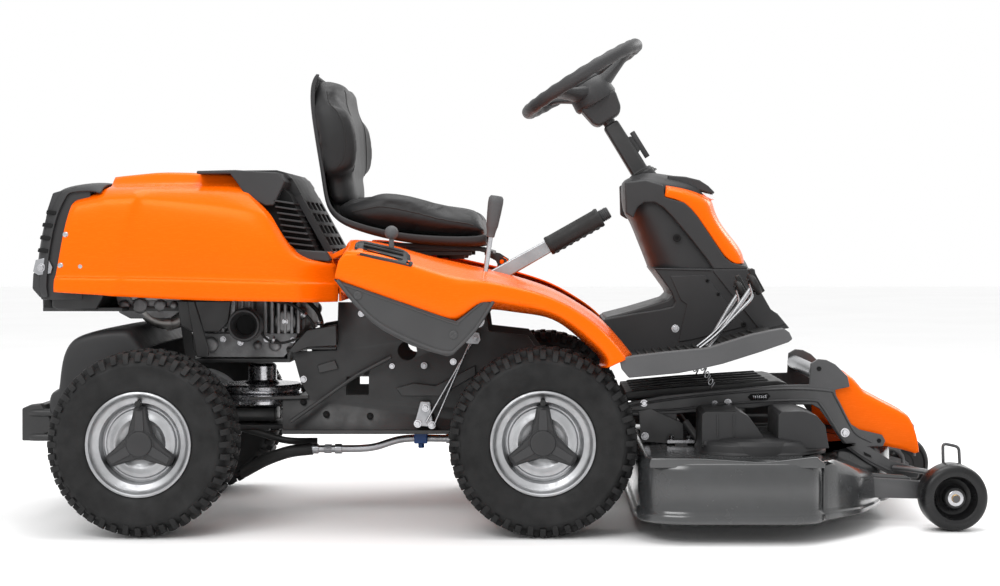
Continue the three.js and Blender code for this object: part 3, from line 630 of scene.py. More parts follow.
# ------------------------------------------------------------------ wheels
TYRE_R, LUGS = 201, 44  # the radius that the tyre's section is drawn for, and lugs round it
TRACK = 357  # from the middle of the machine to the middle of a tyre
WHEELS = (  # end, place along the machine, tyre radius, height of the centre
    ("front", 95, 203.4, 203.6),
    ("rear", -768, 200, 201.6))


def lug(shape, centre, angle, width, corners):
    """One tread block. Corners are (radius, along, 1 where the top narrows), root to root."""
    rings = []
    for turn in (-width, width):
        ring = []
        for radius, along, inward in corners:
            a = math.radians(angle + turn * (1 - 0.22 * inward))
            ring.append(Vector(centre) + Vector((radius * math.cos(a), along,
                                                 radius * math.sin(a))))
        rings.append(shape.ring(ring))
    shape.skin(rings)


def make_tyre(name, body, centre, radius):
    grow = radius - TYRE_R
    side = [(108, 60), (112, 69), (116, 74), (122, 77), (134, 79.5), (150, 81), (166, 80.5),
            (168, 81), (171, 80), (175, 77.5), (180, 72), (185, 64), (188.5, 52), (191.5, 25)]
    side = [(r + grow if r > 125 else r, a) for r, a in side]
    profile = [(r, -a) for r, a in side] + [(192 + grow, 0)] + [(r, a) for r, a in side[::-1]]
    shape = Shape().lathe(profile, centre, segments=120, hollow=True)
    step = 360 / LUGS
    for k in range(LUGS):
        for side_sign in (-1, 1):
            spin = k * step + (step / 2 if side_sign > 0 else 0)
            long = k % 2 == 0
            inner = [(184, 58, 0), (198.5, 56, 1), (200.5, 46, 1), (201, 18 if long else 30, 1),
                     (191, 15 if long else 27, 0)]
            outer = [(172 if long else 177, 72, 0), (174 if long else 179, 79.5, 1),
                     (187, 76.5, 1), (196, 69, 1), (198, 60, 1), (184, 56, 0)]
            for turn, block in ((0, outer), (step * 0.5, inner)):
                lug(shape, centre, spin + turn, step * 0.29,
                    [(r + grow, across * side_sign, top) for r, across, top in block])
        lug(shape, centre, k * step + step * 0.3, step * 0.3,
            [(190 + grow, -13, 0), (radius, -11, 1), (radius, 11, 1), (190 + grow, 13, 0)])
    return shape.piece(name, mat_tyre, body, "tyre", bevel=1.3, smooth=50, angle=40)


def make_rim(name, body, centre, out):
    profile = [(20, -20), (98, -20), (100, -62), (112, -70), (110, -60), (101, -55), (101, 20),
               (104, 58), (110, 64), (113.5, 70), (112.5, 74), (109, 75.5), (106.5, 73.5),
               (104, 67), (100, 62), (97, 60), (93, 58.5), (88, 56), (84.5, 50), (82.5, 42),
               (79, 38.5), (76, 38), (74.5, 41), (73, 43), (69, 44), (64, 44.5), (59, 48),
               (54, 49), (49, 46), (44, 43), (20, 42)]
    shape = Shape().lathe(profile, centre, segments=120, out=out)
    return shape.piece(name, mat_rim, body, "rim_paint", smooth=30)


def make_cap(name, body, centre, out):
    """Three-armed hub cap with a round centre."""
    shape = Shape()
    arm = [(24, 26), (36, 23.5), (56, 17.5), (74, 14), (79, 11.5), (81, 0)]
    outline = []
    for k in range(3):
        middle = math.radians(90 + 120 * k)
        points = [(r, -w) for r, w in arm] + [(r, w) for r, w in arm[-2::-1]]
        for along, across in points:
            outline.append((along * math.cos(middle) - across * math.sin(middle),
                            along * math.sin(middle) + across * math.cos(middle)))

    def level(scale, height):
        return shape.ring([(centre[0] + p * scale, centre[1] + out * height, centre[2] + q * scale)
                           for p, q in outline])

    shape.skin([level(1.0, 40), level(1.0, 52), level(0.94, 58), level(0.86, 60.5)])
    shape.piece(name, mat_dark, body, "dark_plastic", bevel=1.2, smooth=30)
    ridge = Shape()
    for k in range(3):
        turn = Matrix.Rotation(math.radians(120 * k), 4, "Y")
        part = Shape()
        part.prism([(-10, 27), (10, 27), (7.5, 72), (-7.5, 72)], 58 * out, 63.5 * out)
        ridge.add(part.move(Matrix.Translation(centre) @ turn))
    ridge.lathe([(0.5, 40), (30.5, 40), (30.5, 61), (29.5, 62.5), (28.5, 61.5), (27.5, 64.5),
                 (26, 66.5), (22, 67.5), (0.5, 68)], centre, segments=64, out=out)
    ridge.piece(name + "_boss", mat_dark, body, "dark_plastic", bevel=1.0, smooth=30)
    valve = Shape()
    foot = Vector(centre) + Vector((0, out * 55, 91))
    valve.tube([foot, foot + Vector((0, out * 8, -0.5)), foot + Vector((0, out * 17, -4))],
               5.2, 16)
    valve.lathe([(6.6, 0), (6.6, 8), (5.5, 9), (0.5, 9.2)],
                foot + Vector((0, out * 14, -3.4)), segments=20, out=out)
    valve.piece(name + "_valve", mat_hose, body, "hose_black", bevel=0.5)


def make_wheel(end, side, sign, x, radius, height):
    body = f"{end}_wheel_{side}"
    centre = (x, sign * TRACK, height)
    tyre = make_tyre(f"look_{end}_tyre_{side}", body, centre, radius)
    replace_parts(tyre, f"{end}_tyre_{side}")
    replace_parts(make_rim(f"look_{end}_rim_{side}", body, centre, sign), f"{end}_rim_{side}")
    make_cap(f"hub_cap_{end}_{side}", body, centre, sign)


for end, *sizes in WHEELS:
    make_wheel(end, "right", -1, *sizes)
    make_wheel(end, "left", 1, *sizes)


# ------------------------------------------------------------------ hood
HOOD_LEVELS = [  # distance from the middle at each level, from the hem to the ridge
    300, 312, 312, 306, 309, 307, 297, 276, 250, 228, 213, 110, 0]
HOOD_SIDE_LEVELS = 8  # the lowest ones, below the shoulder


def hood_column(xs, zs, shift):
    """One fore-and-aft station: xs and zs at each level; shift moves the side inwards."""
    return [(x, -(half - (shift if i < HOOD_SIDE_LEVELS else 0)), z)
            for i, (x, half, z) in enumerate(zip(xs, HOOD_LEVELS, zs))]


def hood_points():
    """Stations from the rear edge to the front corner."""
    rear = hood_column(
        [-976, -981, -979, -977, -967, -957, -946, -933, -912, -902, -896, -894, -893],
        [526, 524, 553, 557, 612, 668, 715, 731, 739, 741, 742, 743, 744], 0)
    ledge = hood_column(
        [-930, -930, -927, -926, -914, -900, -886, -882, -878, -876, -875, -875, -875],
        [523, 521, 553, 557, 612, 672, 724, 743, 752, 753, 753, 754, 754], -2)
    step = hood_column(
        [-880, -880, -878, -877, -874, -870, -870, -870, -870, -869, -869, -869, -869],
        [520, 518, 552, 556, 612, 674, 727, 747, 755, 757, 779, 781, 782], -3)
    valley = hood_column(
        [-846, -846, -842, -842, -836, -822, -803, -798, -792, -790, -790, -790, -790],
        [517, 515, 552, 556, 612, 676, 730, 750, 757, 759, 787, 790, 791], -4)
    beyond = hood_column(
        [-822, -822, -816, -815, -808, -800, -791, -784, -776, -772, -770, -770, -770],
        [516, 514, 551, 555, 612, 676, 729, 750, 757, 759, 789, 792, 793], 4)
    middle = hood_column(
        [-720] * 13,
        [510, 508, 550, 554, 612, 672, 722, 748, 758, 760, 789, 792, 793], 1)
    facet = hood_column(
        [-620, -620, -620, -620, -620, -620, -618, -618, -618, -618, -618, -618, -618],
        [507, 505, 547, 551, 609, 664, 709, 742, 757, 759, 785, 788, 789], 0)
    near = hood_column(
        [-462, -462, -466, -468, -500, -528, -545, -568, -580, -588, -597, -600, -600],
        [505, 503, 543, 547, 606, 655, 699, 732, 755, 758, 782, 785, 786], 0)
    corner = hood_column(
        [-440, -440, -444, -446, -470, -496, -518, -552, -570, -580, -590, -594, -594],
        [504, 502, 541, 545, 594, 642, 694, 729, 753, 756, 781, 784, 785], 4)
    front = hood_column(
        [-412, -410, -412, -412, -420, -460, -507, -542, -564, -576, -588, -592, -592],
        [503, 501, 540, 544, 588, 602, 692, 725, 746, 748, 770, 774, 775], 20)
    end = hood_column(
        [-366, -362, -362, -362, -366, -458, -510, -548, -570, -582, -594, -598, -598],
        [503, 501, 538, 542, 585, 597, 684, 708, 726, 728, 750, 754, 755], 62)
    return [rear, ledge, step, valley, beyond, middle, facet, near, corner, front, end]


def make_hood():
    shape = Shape().sheet(hood_points(),
                          row_creases={0: 0.8, 1: 0.7, 2: 0.95, 3: 0.95, 6: 0.6, 8: 0.85,
                                       9: 0.85, 10: 0.75},
                          column_creases={0: 0.9, 1: 0.5, 2: 0.85, 3: 0.8, 4: 0.8, 6: 0.4,
                                          8: 0.9, 10: 0.8}, mirror=True)
    hood = shape.piece("look_hood_shell", mat_orange, "hood", "orange_plastic",
                       thick=3.5, levels=2, smooth=180)
    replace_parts(hood, "hood_shell")


def make_vent():
    """Raised ridge with slots between two louvred shoulders."""
    ridge = Shape()
    levels = [(-683, 789), (-640, 796), (-511, 797), (-492, 792), (-478, 779), (-454, 738),
              (-375, 594), (-388, 590), (-470, 735), (-512, 770), (-683, 778)]
    ridge.prism(levels, -170, 170)
    ridge_piece = ridge.piece("vent_ridge", mat_tower, "hood", "dark_plastic", bevel=4, sides=3)
    slots = Shape()
    along = Vector((79, 0, -144)).normalized()
    square = Vector((along.z, 0, -along.x))
    for column in (-118, -40, 40, 118):
        for k in range(5):
            middle = Vector((-452, column, 733)) + along * (18 + 31 * k)
            slots_ring = []
            for depth in (-16, 16):
                slots_ring.append(slots.ring([middle + along * a + Vector((0, b, 0))
                                              + square * depth
                                              for a, b in ((-11, -28), (11, -28), (11, 28),
                                                           (-11, 28))]))
            slots.skin(slots_ring)
    carve(ridge_piece, slots)
    mouth = Shape()
    for sign in (-1, 1):
        ring = [(-474 + 17 * math.cos(a) - 12 * math.sin(a), sign * 158,
                 758 + 20 * math.sin(a) + 7 * math.cos(a))
                for a in turns(24)]
        mouth.skin([mouth.ring(ring), mouth.ring([(x, y + 30 * sign, z) for x, y, z in ring])])
    carve(ridge_piece, mouth)
    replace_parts(ridge_piece, "hood_front_vent")
    frame_shape = Shape()
    for sign in (-1, 1):
        outer = [(-676, 785), (-602, 786), (-588, 768), (-566, 736), (-522, 714), (-504, 716),
                 (-492, 742), (-480, 768), (-494, 788), (-590, 794), (-676, 792)]
        frame_shape.prism(outer, sign * 160, sign * 262)
        sill = [(-470, 612), (-462, 596), (-384, 590), (-376, 594), (-388, 612), (-440, 616)]
        frame_shape.prism(sill, sign * 150, sign * 264)
    frame_shape.piece("vent_shoulders", mat_dark, "hood", "dark_plastic", bevel=2.5)
    fins = Shape()
    for sign in (-1, 1):
        for k in range(9):
            top = 728 - 13.5 * k
            left = -510 + (746 - top) * 0.28
            right = -474 + (760 - top) * 0.45
            fins.slab([(left, top), (right, top - 7), (right, top - 11), (left, top - 4)],
                      sign, 160, 262 - k)
    fins.piece("vent_fins", mat_tower, "hood", "dark_plastic", bevel=0.8)
    # A near-black sheet behind the fins: painted shadow of the opening under the vent.
    back = Shape()
    for sign in (-1, 1):
        back.slab([(-560, 770), (-500, 765), (-472, 740), (-410, 606), (-470, 604), (-540, 716),
                   (-575, 730)], sign, 30, 236)
    back.piece("vent_backing", mat_painted_shadow, "hood", "dark_plastic", bevel=0.5)


make_hood()
make_vent()


def make_grille():
    """Rear grille, a curved cowl with louvres, hinge brackets and bolts."""
    cheeks = Shape()
    for sign in (-1, 1):
        cheeks.slab([(-990, 742), (-940, 756), (-905, 750), (-925, 506), (-1016, 506),
                     (-1022, 560), (-1012, 650), (-1002, 706)], sign, 276, 284)
    cheeks.piece("grille_cheeks", mat_dark, "hood", "dark_plastic", bevel=3, sides=3)
    contour = [(-880, 764), (-905, 769), (-957, 761), (-978, 753), (-992, 740), (-1003, 720),
               (-1013, 695), (-1023, 654), (-1030, 611), (-1034, 570), (-1036, 530), (-1028, 516)]
    forward = [0, 0, 0, 2, 12, 34]
    out = [0, 110, 200, 256, 284, 292]
    drop = [0, 0, 1, 6, 14, 26]
    rows = []
    for shift, y, fall in zip(forward, out, drop):
        row = []
        for i, (x, z) in enumerate(contour):
            weight = min(1, i / 4)
            row.append((x + shift * weight, -y, z - fall * (1 - weight * 0.75)))
        rows.append(row)
    shape = Shape().sheet(rows[::-1], row_creases={0: 0.8}, column_creases={0: 1, 11: 1},
                          mirror=True)
    cowl = shape.piece("look_rear_grille", mat_dark, "hood", "dark_plastic", thick=4, levels=2,
                       smooth=180)
    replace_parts(cowl, "hood_rear_grille")
    bars = Shape()
    for k in range(9):
        z = 560 + 19 * k
        t = (z - 560) / 171
        x = -1036 + 8 * t + 28 * t ** 3
        bars.prism([(x - 3, z), (x + 16, z + 8), (x + 16, z + 11), (x - 3, z + 4)], -190, 190)
    bars.prism([(-1038, 742), (-1038, 548), (-1026, 548), (-998, 742)], -3, 3)
    bars.piece("grille_bars", mat_tower, "hood", "dark_plastic", bevel=1)
    # The ports are near-black slabs in the painted-shadow material: painted shadow in the openings.
    notches = Shape()
    for sign in (-1, 1):
        for x, z, w, h in ((-992, 700, 14, 9), (-1000, 672, 15, 9), (-1005, 644, 15, 9),
                           (-1010, 616, 15, 9)):
            notches.slab([(x - w * 0.6, z + h / 2), (x + w, z + h / 2 - 3),
                          (x + w - 3, z - h / 2 - 3), (x - w * 0.75, z - h / 2)], sign, 262, 294)
    notches.piece("grille_ports", mat_painted_shadow, "hood", "dark_plastic", bevel=2)
    brackets = Shape()
    bolts = Shape()
    skirts = Shape()
    for sign in (-1, 1):
        brackets.slab([(-1026, 594), (-1000, 600), (-988, 578), (-992, 564), (-1020, 560),
                       (-1032, 568)], sign, 284, 290)
        bolt(bolts, (-1013, sign * 290, 577), radius=7, height=6, out=sign)
        skirts.slab([(-1034, 566), (-1036, 530), (-1020, 512), (-1008, 504), (-996, 508),
                     (-990, 566)], sign, 256, 283)
    brackets.piece("hinge_brackets", mat_zinc, "hood", "zinc_steel", bevel=1.5)
    bolts.piece("hinge_bolts", mat_bright, "hood", "zinc_steel", bevel=0.6)
    skirts.piece("grille_skirts", mat_dark, "hood", "dark_plastic", bevel=4, sides=3)
    screws = Shape()
    for sign in (-1, 1):
        for x, z in ((-955, 650), (-966, 582), (-922, 580)):
            screws.lathe([(6, 0), (6, 2.5), (4.5, 4), (0.5, 4.4)], (x, sign * 307, z),
                         segments=24, out=sign)
    screws.piece("hood_screws", mat_bright, "hood", "dark_plastic")


make_grille()


# ------------------------------------------------------------------ body sides, trim, footplates
def body_side(side, sign):
    """One side of the body: a smooth fender that sweeps down to the footplate."""
    low = [(-349, 557), (-338, 553), (-270, 529), (-190, 501), (-130, 480), (-97, 469), (-70, 483),
           (-40, 509), (-5, 507), (44, 498), (108, 488), (155, 461), (200, 423), (240, 383),
           (232, 366)]
    top = [(-337, 604), (-320, 632), (-268, 633), (-190, 608), (-130, 588), (-98, 579),
           (-72, 572), (-36, 562), (2, 554), (46, 544), (112, 525), (169, 494), (217, 462),
           (262, 412), (283, 388)]
    inner = [(-348, 606), (-334, 638), (-270, 634), (-190, 610), (-149, 598), (-100, 588),
             (-70, 581), (-30, 572), (0, 566), (48, 552), (120, 529), (180, 492), (226, 462),
             (272, 408), (292, 382)]
    levels = [  # share of the way from low to top, distance from the middle, halves towards inner
        (-0.42, 300, 0), (-0.16, 392, 0), (0.0, 424, 0), (0.07, 434, 0), (0.4, 435, 0),
        (0.7, 433, 0), (0.78, 428, 0), (0.97, 372, 0), (1.0, 345, 1), (1.0, 252, 2)]
    rows = []
    for share, y, inwards in levels:
        row = []
        for lower, upper, far in zip(low, top, inner):
            blend = inwards / 2
            x = lower[0] + (upper[0] - lower[0]) * share
            z = lower[1] + (upper[1] - lower[1]) * share
            x += (far[0] - x) * blend
            z += (far[1] - z) * blend + (2 if inwards == 1 else 0)
            row.append((x, sign * y, z))
        rows.append(row)
    shape = Shape().sheet(rows, row_creases={0: 1, 2: 0.75, 5: 0.4, 6: 0.6, 7: 0.4, 9: 1},
                          column_creases={0: 1, 1: 0.5, 14: 1})
    piece = shape.piece(f"look_body_side_{side}", mat_orange, "chassis", "orange_plastic",
                        thick=3.5, levels=2, smooth=180)
    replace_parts(piece, f"body_side_{side}")


def fender_strip(side, sign):
    """Raised rib along the wheel arch."""
    line = smooth_path([(44, 0, 505), (108, 0, 496), (160, 0, 467), (206, 0, 428), (250, 0, 382)])
    strip = Shape().tube([(p.x, sign * 433, p.z) for p in line], 3.2, 10)
    strip.piece(f"fender_rib_{side}", mat_orange, "chassis", "orange_plastic", smooth=180)


def side_trim(side, sign):
    """Lower fairing: a boat-shaped panel with a rolled lip and two screws."""
    outline = [(-352, 555), (-345, 547), (-326, 522), (-308, 500), (-271, 463), (-246, 445),
               (-222, 432), (-186, 413), (-150, 401), (-110, 390), (-96, 393), (-84, 407),
               (-74, 421), (-47, 445), (-28, 476), (-8, 505), (-38, 508), (-62, 486), (-90, 465)]
    panel = Shape().slab(outline, sign, 414, 427)
    piece = panel.piece(f"look_side_trim_{side}", mat_trim, "chassis", "grey_plastic", bevel=3,
                        sides=3, smooth=40)
    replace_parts(piece, f"side_trim_{side}")
    lip = [(-346, 549), (-308, 503), (-271, 466), (-222, 435), (-150, 404), (-108, 394),
           (-88, 406), (-50, 447), (-14, 503)]
    path = smooth_path([(x + 3, 0, z + 4) for x, z in lip], 6)
    edge = Shape().tube([(p.x, sign * 427, p.z) for p in path], 4, 10)
    crest = smooth_path([(-340, 0, 548), (-200, 0, 499), (-98, 0, 463), (-84, 0, 466),
                         (-58, 0, 488), (-36, 0, 505)], 8)
    edge.tube([(p.x, sign * 427, p.z - 2) for p in crest], 2.2, 10)
    for x, z in ((-96, 436), (-300, 520)):
        edge.lathe([(9, 0), (9, 3), (7, 4.5), (4, 4), (0.4, 3.5)], (x, sign * 426, z),
                   segments=28, out=sign)
    edge.piece(f"trim_lip_{side}", mat_trim, "chassis", "grey_plastic", smooth=50)


def footplate(side, sign):
    """Floor tread with a rolled outer rail and ribs underfoot."""
    rail = [(263, 362), (258, 385), (289, 391), (353, 399), (446, 408), (540, 437), (584, 446),
            (608, 450), (620, 441), (627, 427), (618, 420), (560, 400), (478, 374), (430, 363),
            (384, 354), (330, 349), (278, 344)]
    shape = Shape().slab(rail, sign, 402, 431)
    piece = shape.piece(f"look_footplate_{side}", mat_grey, "chassis", "grey_plastic", bevel=3,
                        sides=3, smooth=40)
    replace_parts(piece, f"footplate_{side}")
    mat = Shape()
    mat.slab([(272, 381), (353, 389), (446, 398), (540, 426), (600, 440), (603, 433), (540, 419),
              (446, 391), (353, 382), (272, 374)], sign, 146, 405)
    for k in range(16):
        x = 290 + 18 * k
        z = 383 + (x - 272) * 0.11 if x < 446 else 400 + (x - 446) * 0.29
        mat.slab([(x - 3, z - 2), (x + 3, z - 1), (x + 2, z + 1.6), (x - 2, z + 1.2)],
                 sign, 165, 390)
    mat.piece(f"floor_mat_{side}", mat_hose, "chassis", "grey_plastic", bevel=0.8)


on_both_sides(body_side)
on_both_sides(fender_strip)
on_both_sides(side_trim)
on_both_sides(footplate)


# ------------------------------------------------------------------ console and steering column
SQUARENESS = 3.2  # of the console's levels: 2 is an ellipse


def oval_section(rear, front, half, nose):
    """A level of the console: rear and front are (x, z), nose narrows its front end."""
    ring = []
    for a in turns(40):
        c, s = math.cos(a), math.sin(a)
        u = math.copysign(abs(c) ** (2 / SQUARENESS), c)
        v = math.copysign(abs(s) ** (2 / SQUARENESS), s)
        share = (1 + u) / 2
        width = half * (1 - (1 - nose) * share ** 1.5)
        ring.append((rear[0] + (front[0] - rear[0]) * share, v * width,
                     rear[1] + (front[1] - rear[1]) * share))
    return ring


def console():
    """Tower shell, its base, the dark band round the insert, inset panels and fixings."""
    sections = [  # rear edge, front edge, half width, how much of it is left at the nose
        ((348, 560), (592, 526), 146, 0.86), ((344, 574), (582, 572), 146, 0.86),
        ((334, 600), (566, 596), 145, 0.85), ((318, 640), (540, 634), 143, 0.84),
        ((304, 676), (515, 672), 141, 0.83), ((295, 692), (503, 690), 140, 0.82),
        ((285, 704), (495, 703), 139, 0.82), ((281, 738), (490, 726), 137, 0.82),
        ((279, 768), (488, 748), 134, 0.82), ((286, 780), (484, 756), 128, 0.82),
        ((306, 788), (470, 768), 112, 0.82), ((325, 795), (448, 777), 84, 0.85),
        ((345, 799), (425, 787), 40, 0.9)]
    shape = Shape()
    shape.skin([shape.ring(oval_section(r, f, h, n)) for r, f, h, n in sections])
    shell = shape.piece("look_console_shell", mat_tower, "chassis", "dark_plastic", levels=1,
                        smooth=60)
    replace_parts(shell, "console_shell")
    lower = Shape()
    side_view = [(348, 574), (362, 556), (388, 520), (398, 496), (392, 486), (362, 479),
                 (303, 470), (236, 457), (232, 452), (262, 415), (292, 378), (360, 386),
                 (450, 394), (545, 420), (660, 436), (650, 448), (632, 470), (616, 478),
                 (588, 528), (580, 572)]
    lower.prism(side_view, -147, 147)
    lower.piece("console_base", mat_tower, "chassis", "dark_plastic", bevel=5, sides=3,
                smooth=40)
    band, panels = Shape(), Shape()
    for sign in (-1, 1):
        band.slab([(282, 771), (283, 740), (284, 699), (302, 688), (306, 700), (313, 714),
                   (327, 724), (351, 724), (371, 712), (394, 688), (434, 640), (473, 590),
                   (485, 570), (563, 570), (563, 578), (528, 586), (512, 598), (449, 692),
                   (434, 710), (418, 724), (374, 736), (370, 764), (330, 776)], sign, 128, 148)
        panels.slab([(352, 574), (480, 571), (480, 567), (352, 570)], sign, 145, 150)
        panels.slab([(484, 571), (566, 571), (590, 526), (616, 480), (632, 468), (650, 446),
                     (592, 430), (484, 566)], sign, 144, 151)
        panels.slab([(386, 556), (466, 558), (560, 440), (440, 410), (404, 404), (424, 490),
                     (410, 500)], sign, 144, 149.5)
    band.piece("console_band", mat_dark, "chassis", "dark_plastic", bevel=4, sides=3)
    panels.piece("console_panels", mat_tower, "chassis", "dark_plastic", bevel=2.5, sides=3)
    screws, bolts = Shape(), Shape()
    for sign in (-1, 1):
        for x, z, y, r in ((402, 643, 143, 9), (471, 545, 149.5, 4), (496, 514, 149.5, 4),
                           (554, 445, 150, 6)):
            screws.lathe([(r, 0), (r, 2.5), (r - 1.5, 4), (r * 0.45, 3.8), (r * 0.42, 1.5),
                          (0.4, 1.5)], (x, sign * y, z), segments=28, out=sign)
        bolt(bolts, (398, sign * 147, 435), radius=7, height=5, out=sign)
    # The screws are drawn in the near-black painted-shadow material: painted shade where they sit in
    # their holes.
    screws.piece("console_screws", mat_painted_shadow, "chassis", "dark_plastic")
    bolts.piece("console_bolts", mat_bright, "chassis", "zinc_steel", bevel=0.5)


def console_insert():
    """Orange nose panel that wraps over the front of the console, with the headlight."""
    centre_line = [(378, 768), (434, 757), (474, 738), (490, 729), (493, 704), (508, 672),
                   (534, 640), (560, 608), (561, 582)]
    edge_line = [(374, 738), (396, 733), (418, 724), (434, 709), (450, 691), (475, 655),
                 (500, 617), (516, 595), (538, 584)]
    lift = [2, 3, 3, 3, 3, 3, 3, 3, 2]
    rows = []
    for share, y in ((1.0, 129), (0.97, 142), (0.62, 143), (0.34, 134), (0.14, 108),
                     (0.03, 66), (0.0, 0)):
        row = []
        for (cx, cz), (ex, ez), up in zip(centre_line, edge_line, lift):
            x = cx + (ex - cx) * share
            z = cz + (ez - cz) * share
            grow = 1 - share
            row.append((x + up * 0.5 * grow, -y, z + up * grow))
        rows.append(row)
    shape = Shape().sheet(rows, row_creases={0: 1, 1: 0.6}, column_creases={0: 1, 8: 1},
                          mirror=True)
    piece = shape.piece("look_console_insert", mat_orange, "chassis", "orange_plastic", thick=4,
                        levels=2, smooth=180)
    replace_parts(piece, "console_insert")
    brow = Shape().prism([(384, 788), (425, 785), (458, 777), (478, 764), (494, 748), (488, 744),
                          (464, 751), (440, 756), (390, 760)], -98, 98)
    brow.piece("console_brow", mat_dark, "chassis", "dark_plastic", bevel=7, sides=4)
    lens = Shape().prism([(460, 750), (491, 743.5), (495, 732), (487, 730), (472, 736)], -96, 96)
    cover = lens.piece("look_headlight_lens", mat_lens, "chassis", "lens", bevel=3, sides=3)
    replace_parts(cover, "headlight_lens")
    bowl = Shape()
    for sign in (-1, 1):
        middle = Vector((476, sign * 44, 733))
        aim = Matrix.Rotation(math.radians(62), 4, "Y")
        lamp = Shape().lathe([(34, -8), (34, 4), (31, 8), (29, 6), (24, 3), (12, 0), (0.5, -1)],
                             (0, 0, 0), axis="z", segments=48)
        squash = Matrix.Diagonal((0.22, 0.9, 0.3, 1))
        bowl.add(lamp.move(Matrix.Translation(middle) @ aim @ squash))
    bowl.piece("headlight_bowls", mat_zinc, "chassis", "lens", smooth=40)


def tunnel_and_column():
    shape = Shape().prism([(238, 460), (300, 476), (380, 500), (420, 540), (560, 540),
                           (580, 400), (420, 396), (300, 436), (238, 452)], -138, 138)
    cover = shape.piece("look_tunnel_cover", mat_tower, "chassis", "dark_plastic", bevel=6,
                        sides=3)
    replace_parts(cover, "tunnel_cover")


COLUMN_BASE = Vector((325, 0, 799))
COLUMN_TILT = math.radians(31.8)
COLUMN = Matrix.Translation(COLUMN_BASE) @ Matrix.Rotation(-COLUMN_TILT, 4, "Y")
WHEEL_UP = 260  # from the column's base to the steering wheel


def column():
    """Telescoping column: an outer tube with flats, a collar and the reach clamp."""
    shape = Shape()
    section = [(26, 20), (20, 26), (-20, 26), (-26, 20), (-26, -20), (-20, -26), (20, -26),
               (26, -20)]

    def level(z, scale_x, scale_y):
        return shape.ring([(x * scale_x, y * scale_y, z) for x, y in section])

    shape.skin([level(-30, 1.2, 1.3), level(-4, 1.1, 1.2), level(2, 0.8, 0.86),
                level(128, 0.74, 0.78), level(134, 0.66, 0.7)])
    shape.prism([(18, 40), (30, 46), (32, 74), (26, 84), (16, 86)], -7, 7)
    shape.move(COLUMN)
    tube = shape.piece("look_column_tube", mat_frame, "chassis", "frame_steel", bevel=2.5,
                       sides=3)
    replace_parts(tube, "column_tube")
    boot = Shape()
    for k in range(3):
        boot.lathe([(38 - 4 * k, 0), (38 - 4 * k, 4), (34 - 4 * k, 7), (20, 7)],
                   (0, 0, -16 + 6 * k), axis="z", segments=40)
    boot.move(COLUMN)
    boot.piece("column_boot", mat_hose, "chassis", "hose_black", bevel=1)


def steering_wheel():
    """Ring with finger waves inside, three padded spokes and a deep hub."""
    ring = Shape()
    ring_radius, thickness, waves = 151, 14.2, 24
    rings = []
    for a in turns(144):
        swell = 1 + 0.11 * math.cos(a * waves)
        section = []
        for b in turns(20):
            inward = 0.5 - 0.5 * math.cos(b)
            r = thickness * (1 + (swell - 1) * inward)
            radius = ring_radius + r * math.cos(b)
            section.append((radius * math.cos(a), radius * math.sin(a), r * 1.06 * math.sin(b)))
        rings.append(ring.ring(section))
    ring.skin(rings + rings[:1], caps=False)
    wheel = Matrix.Translation(COLUMN @ Vector((0, 0, WHEEL_UP)))
    wheel = wheel @ Matrix.Rotation(-COLUMN_TILT, 4, "Y")
    ring.move(wheel)
    piece = ring.piece("look_steering_wheel", mat_wheel_rim, "steering_wheel",
                       "steering_wheel_plastic", smooth=180)
    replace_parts(piece, "steering_wheel")
    spokes = Shape()
    for turn in (0, 125, -125):
        a = math.radians(turn)
        along = Vector((math.cos(a), math.sin(a), 0))
        across = Vector((-math.sin(a), math.cos(a), 0))
        levels = []
        for r, width, z, thick in ((22, 30, -34, 20), (48, 26, -30, 17), (80, 21, -20, 12),
                                   (112, 19, -8, 10), (142, 21, 0, 9), (150, 20, 0, 8)):
            levels.append(spokes.ring([along * r + across * (width * math.cos(b))
                                       + Vector((0, 0, z + thick * math.sin(b)))
                                       for b in turns(20)]))
        spokes.skin(levels)
    spokes.lathe([(50, -68), (54, -60), (52, -34), (46, -20), (40, -13), (34, -11), (20, -10),
                  (0.5, -9.5)], (0, 0, 0), axis="z", segments=64)
    spokes.lathe([(36, -12), (36, -8), (33, -5), (24, -3.5), (0.5, -3)], (0, 0, 0), axis="z",
                 segments=64)
    spokes.move(wheel)
    spokes.piece("steering_spokes", mat_wheel_rim, "steering_wheel", "steering_wheel_plastic",
                 bevel=1.5, smooth=45)
    hub = Shape()
    hub.prism([(-44, -62), (-34, -58), (34, -58), (50, -66), (42, -104), (30, -118), (-26, -118),
               (-36, -108)], -38, 38)
    hub.move(wheel)
    hub.piece("steering_hub", mat_wheel_rim, "steering_wheel", "steering_wheel_plastic", bevel=8,
              sides=4, smooth=40)
    stem = Shape().rod((0, 0, 30), (0, 0, 175), 15, segments=32)
    stem.move(COLUMN)
    shaft = stem.piece("look_steering_shaft", mat_frame, "steering_stem", "zinc_steel", bevel=1)
    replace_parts(shaft, "steering_shaft")


console()
console_insert()
tunnel_and_column()
column()
steering_wheel()


# ------------------------------------------------------------------ seat
def cage(rings):
    """A closed cage through rings of points."""
    shape = Shape()
    shape.skin([shape.ring(ring) for ring in rings])
    return shape


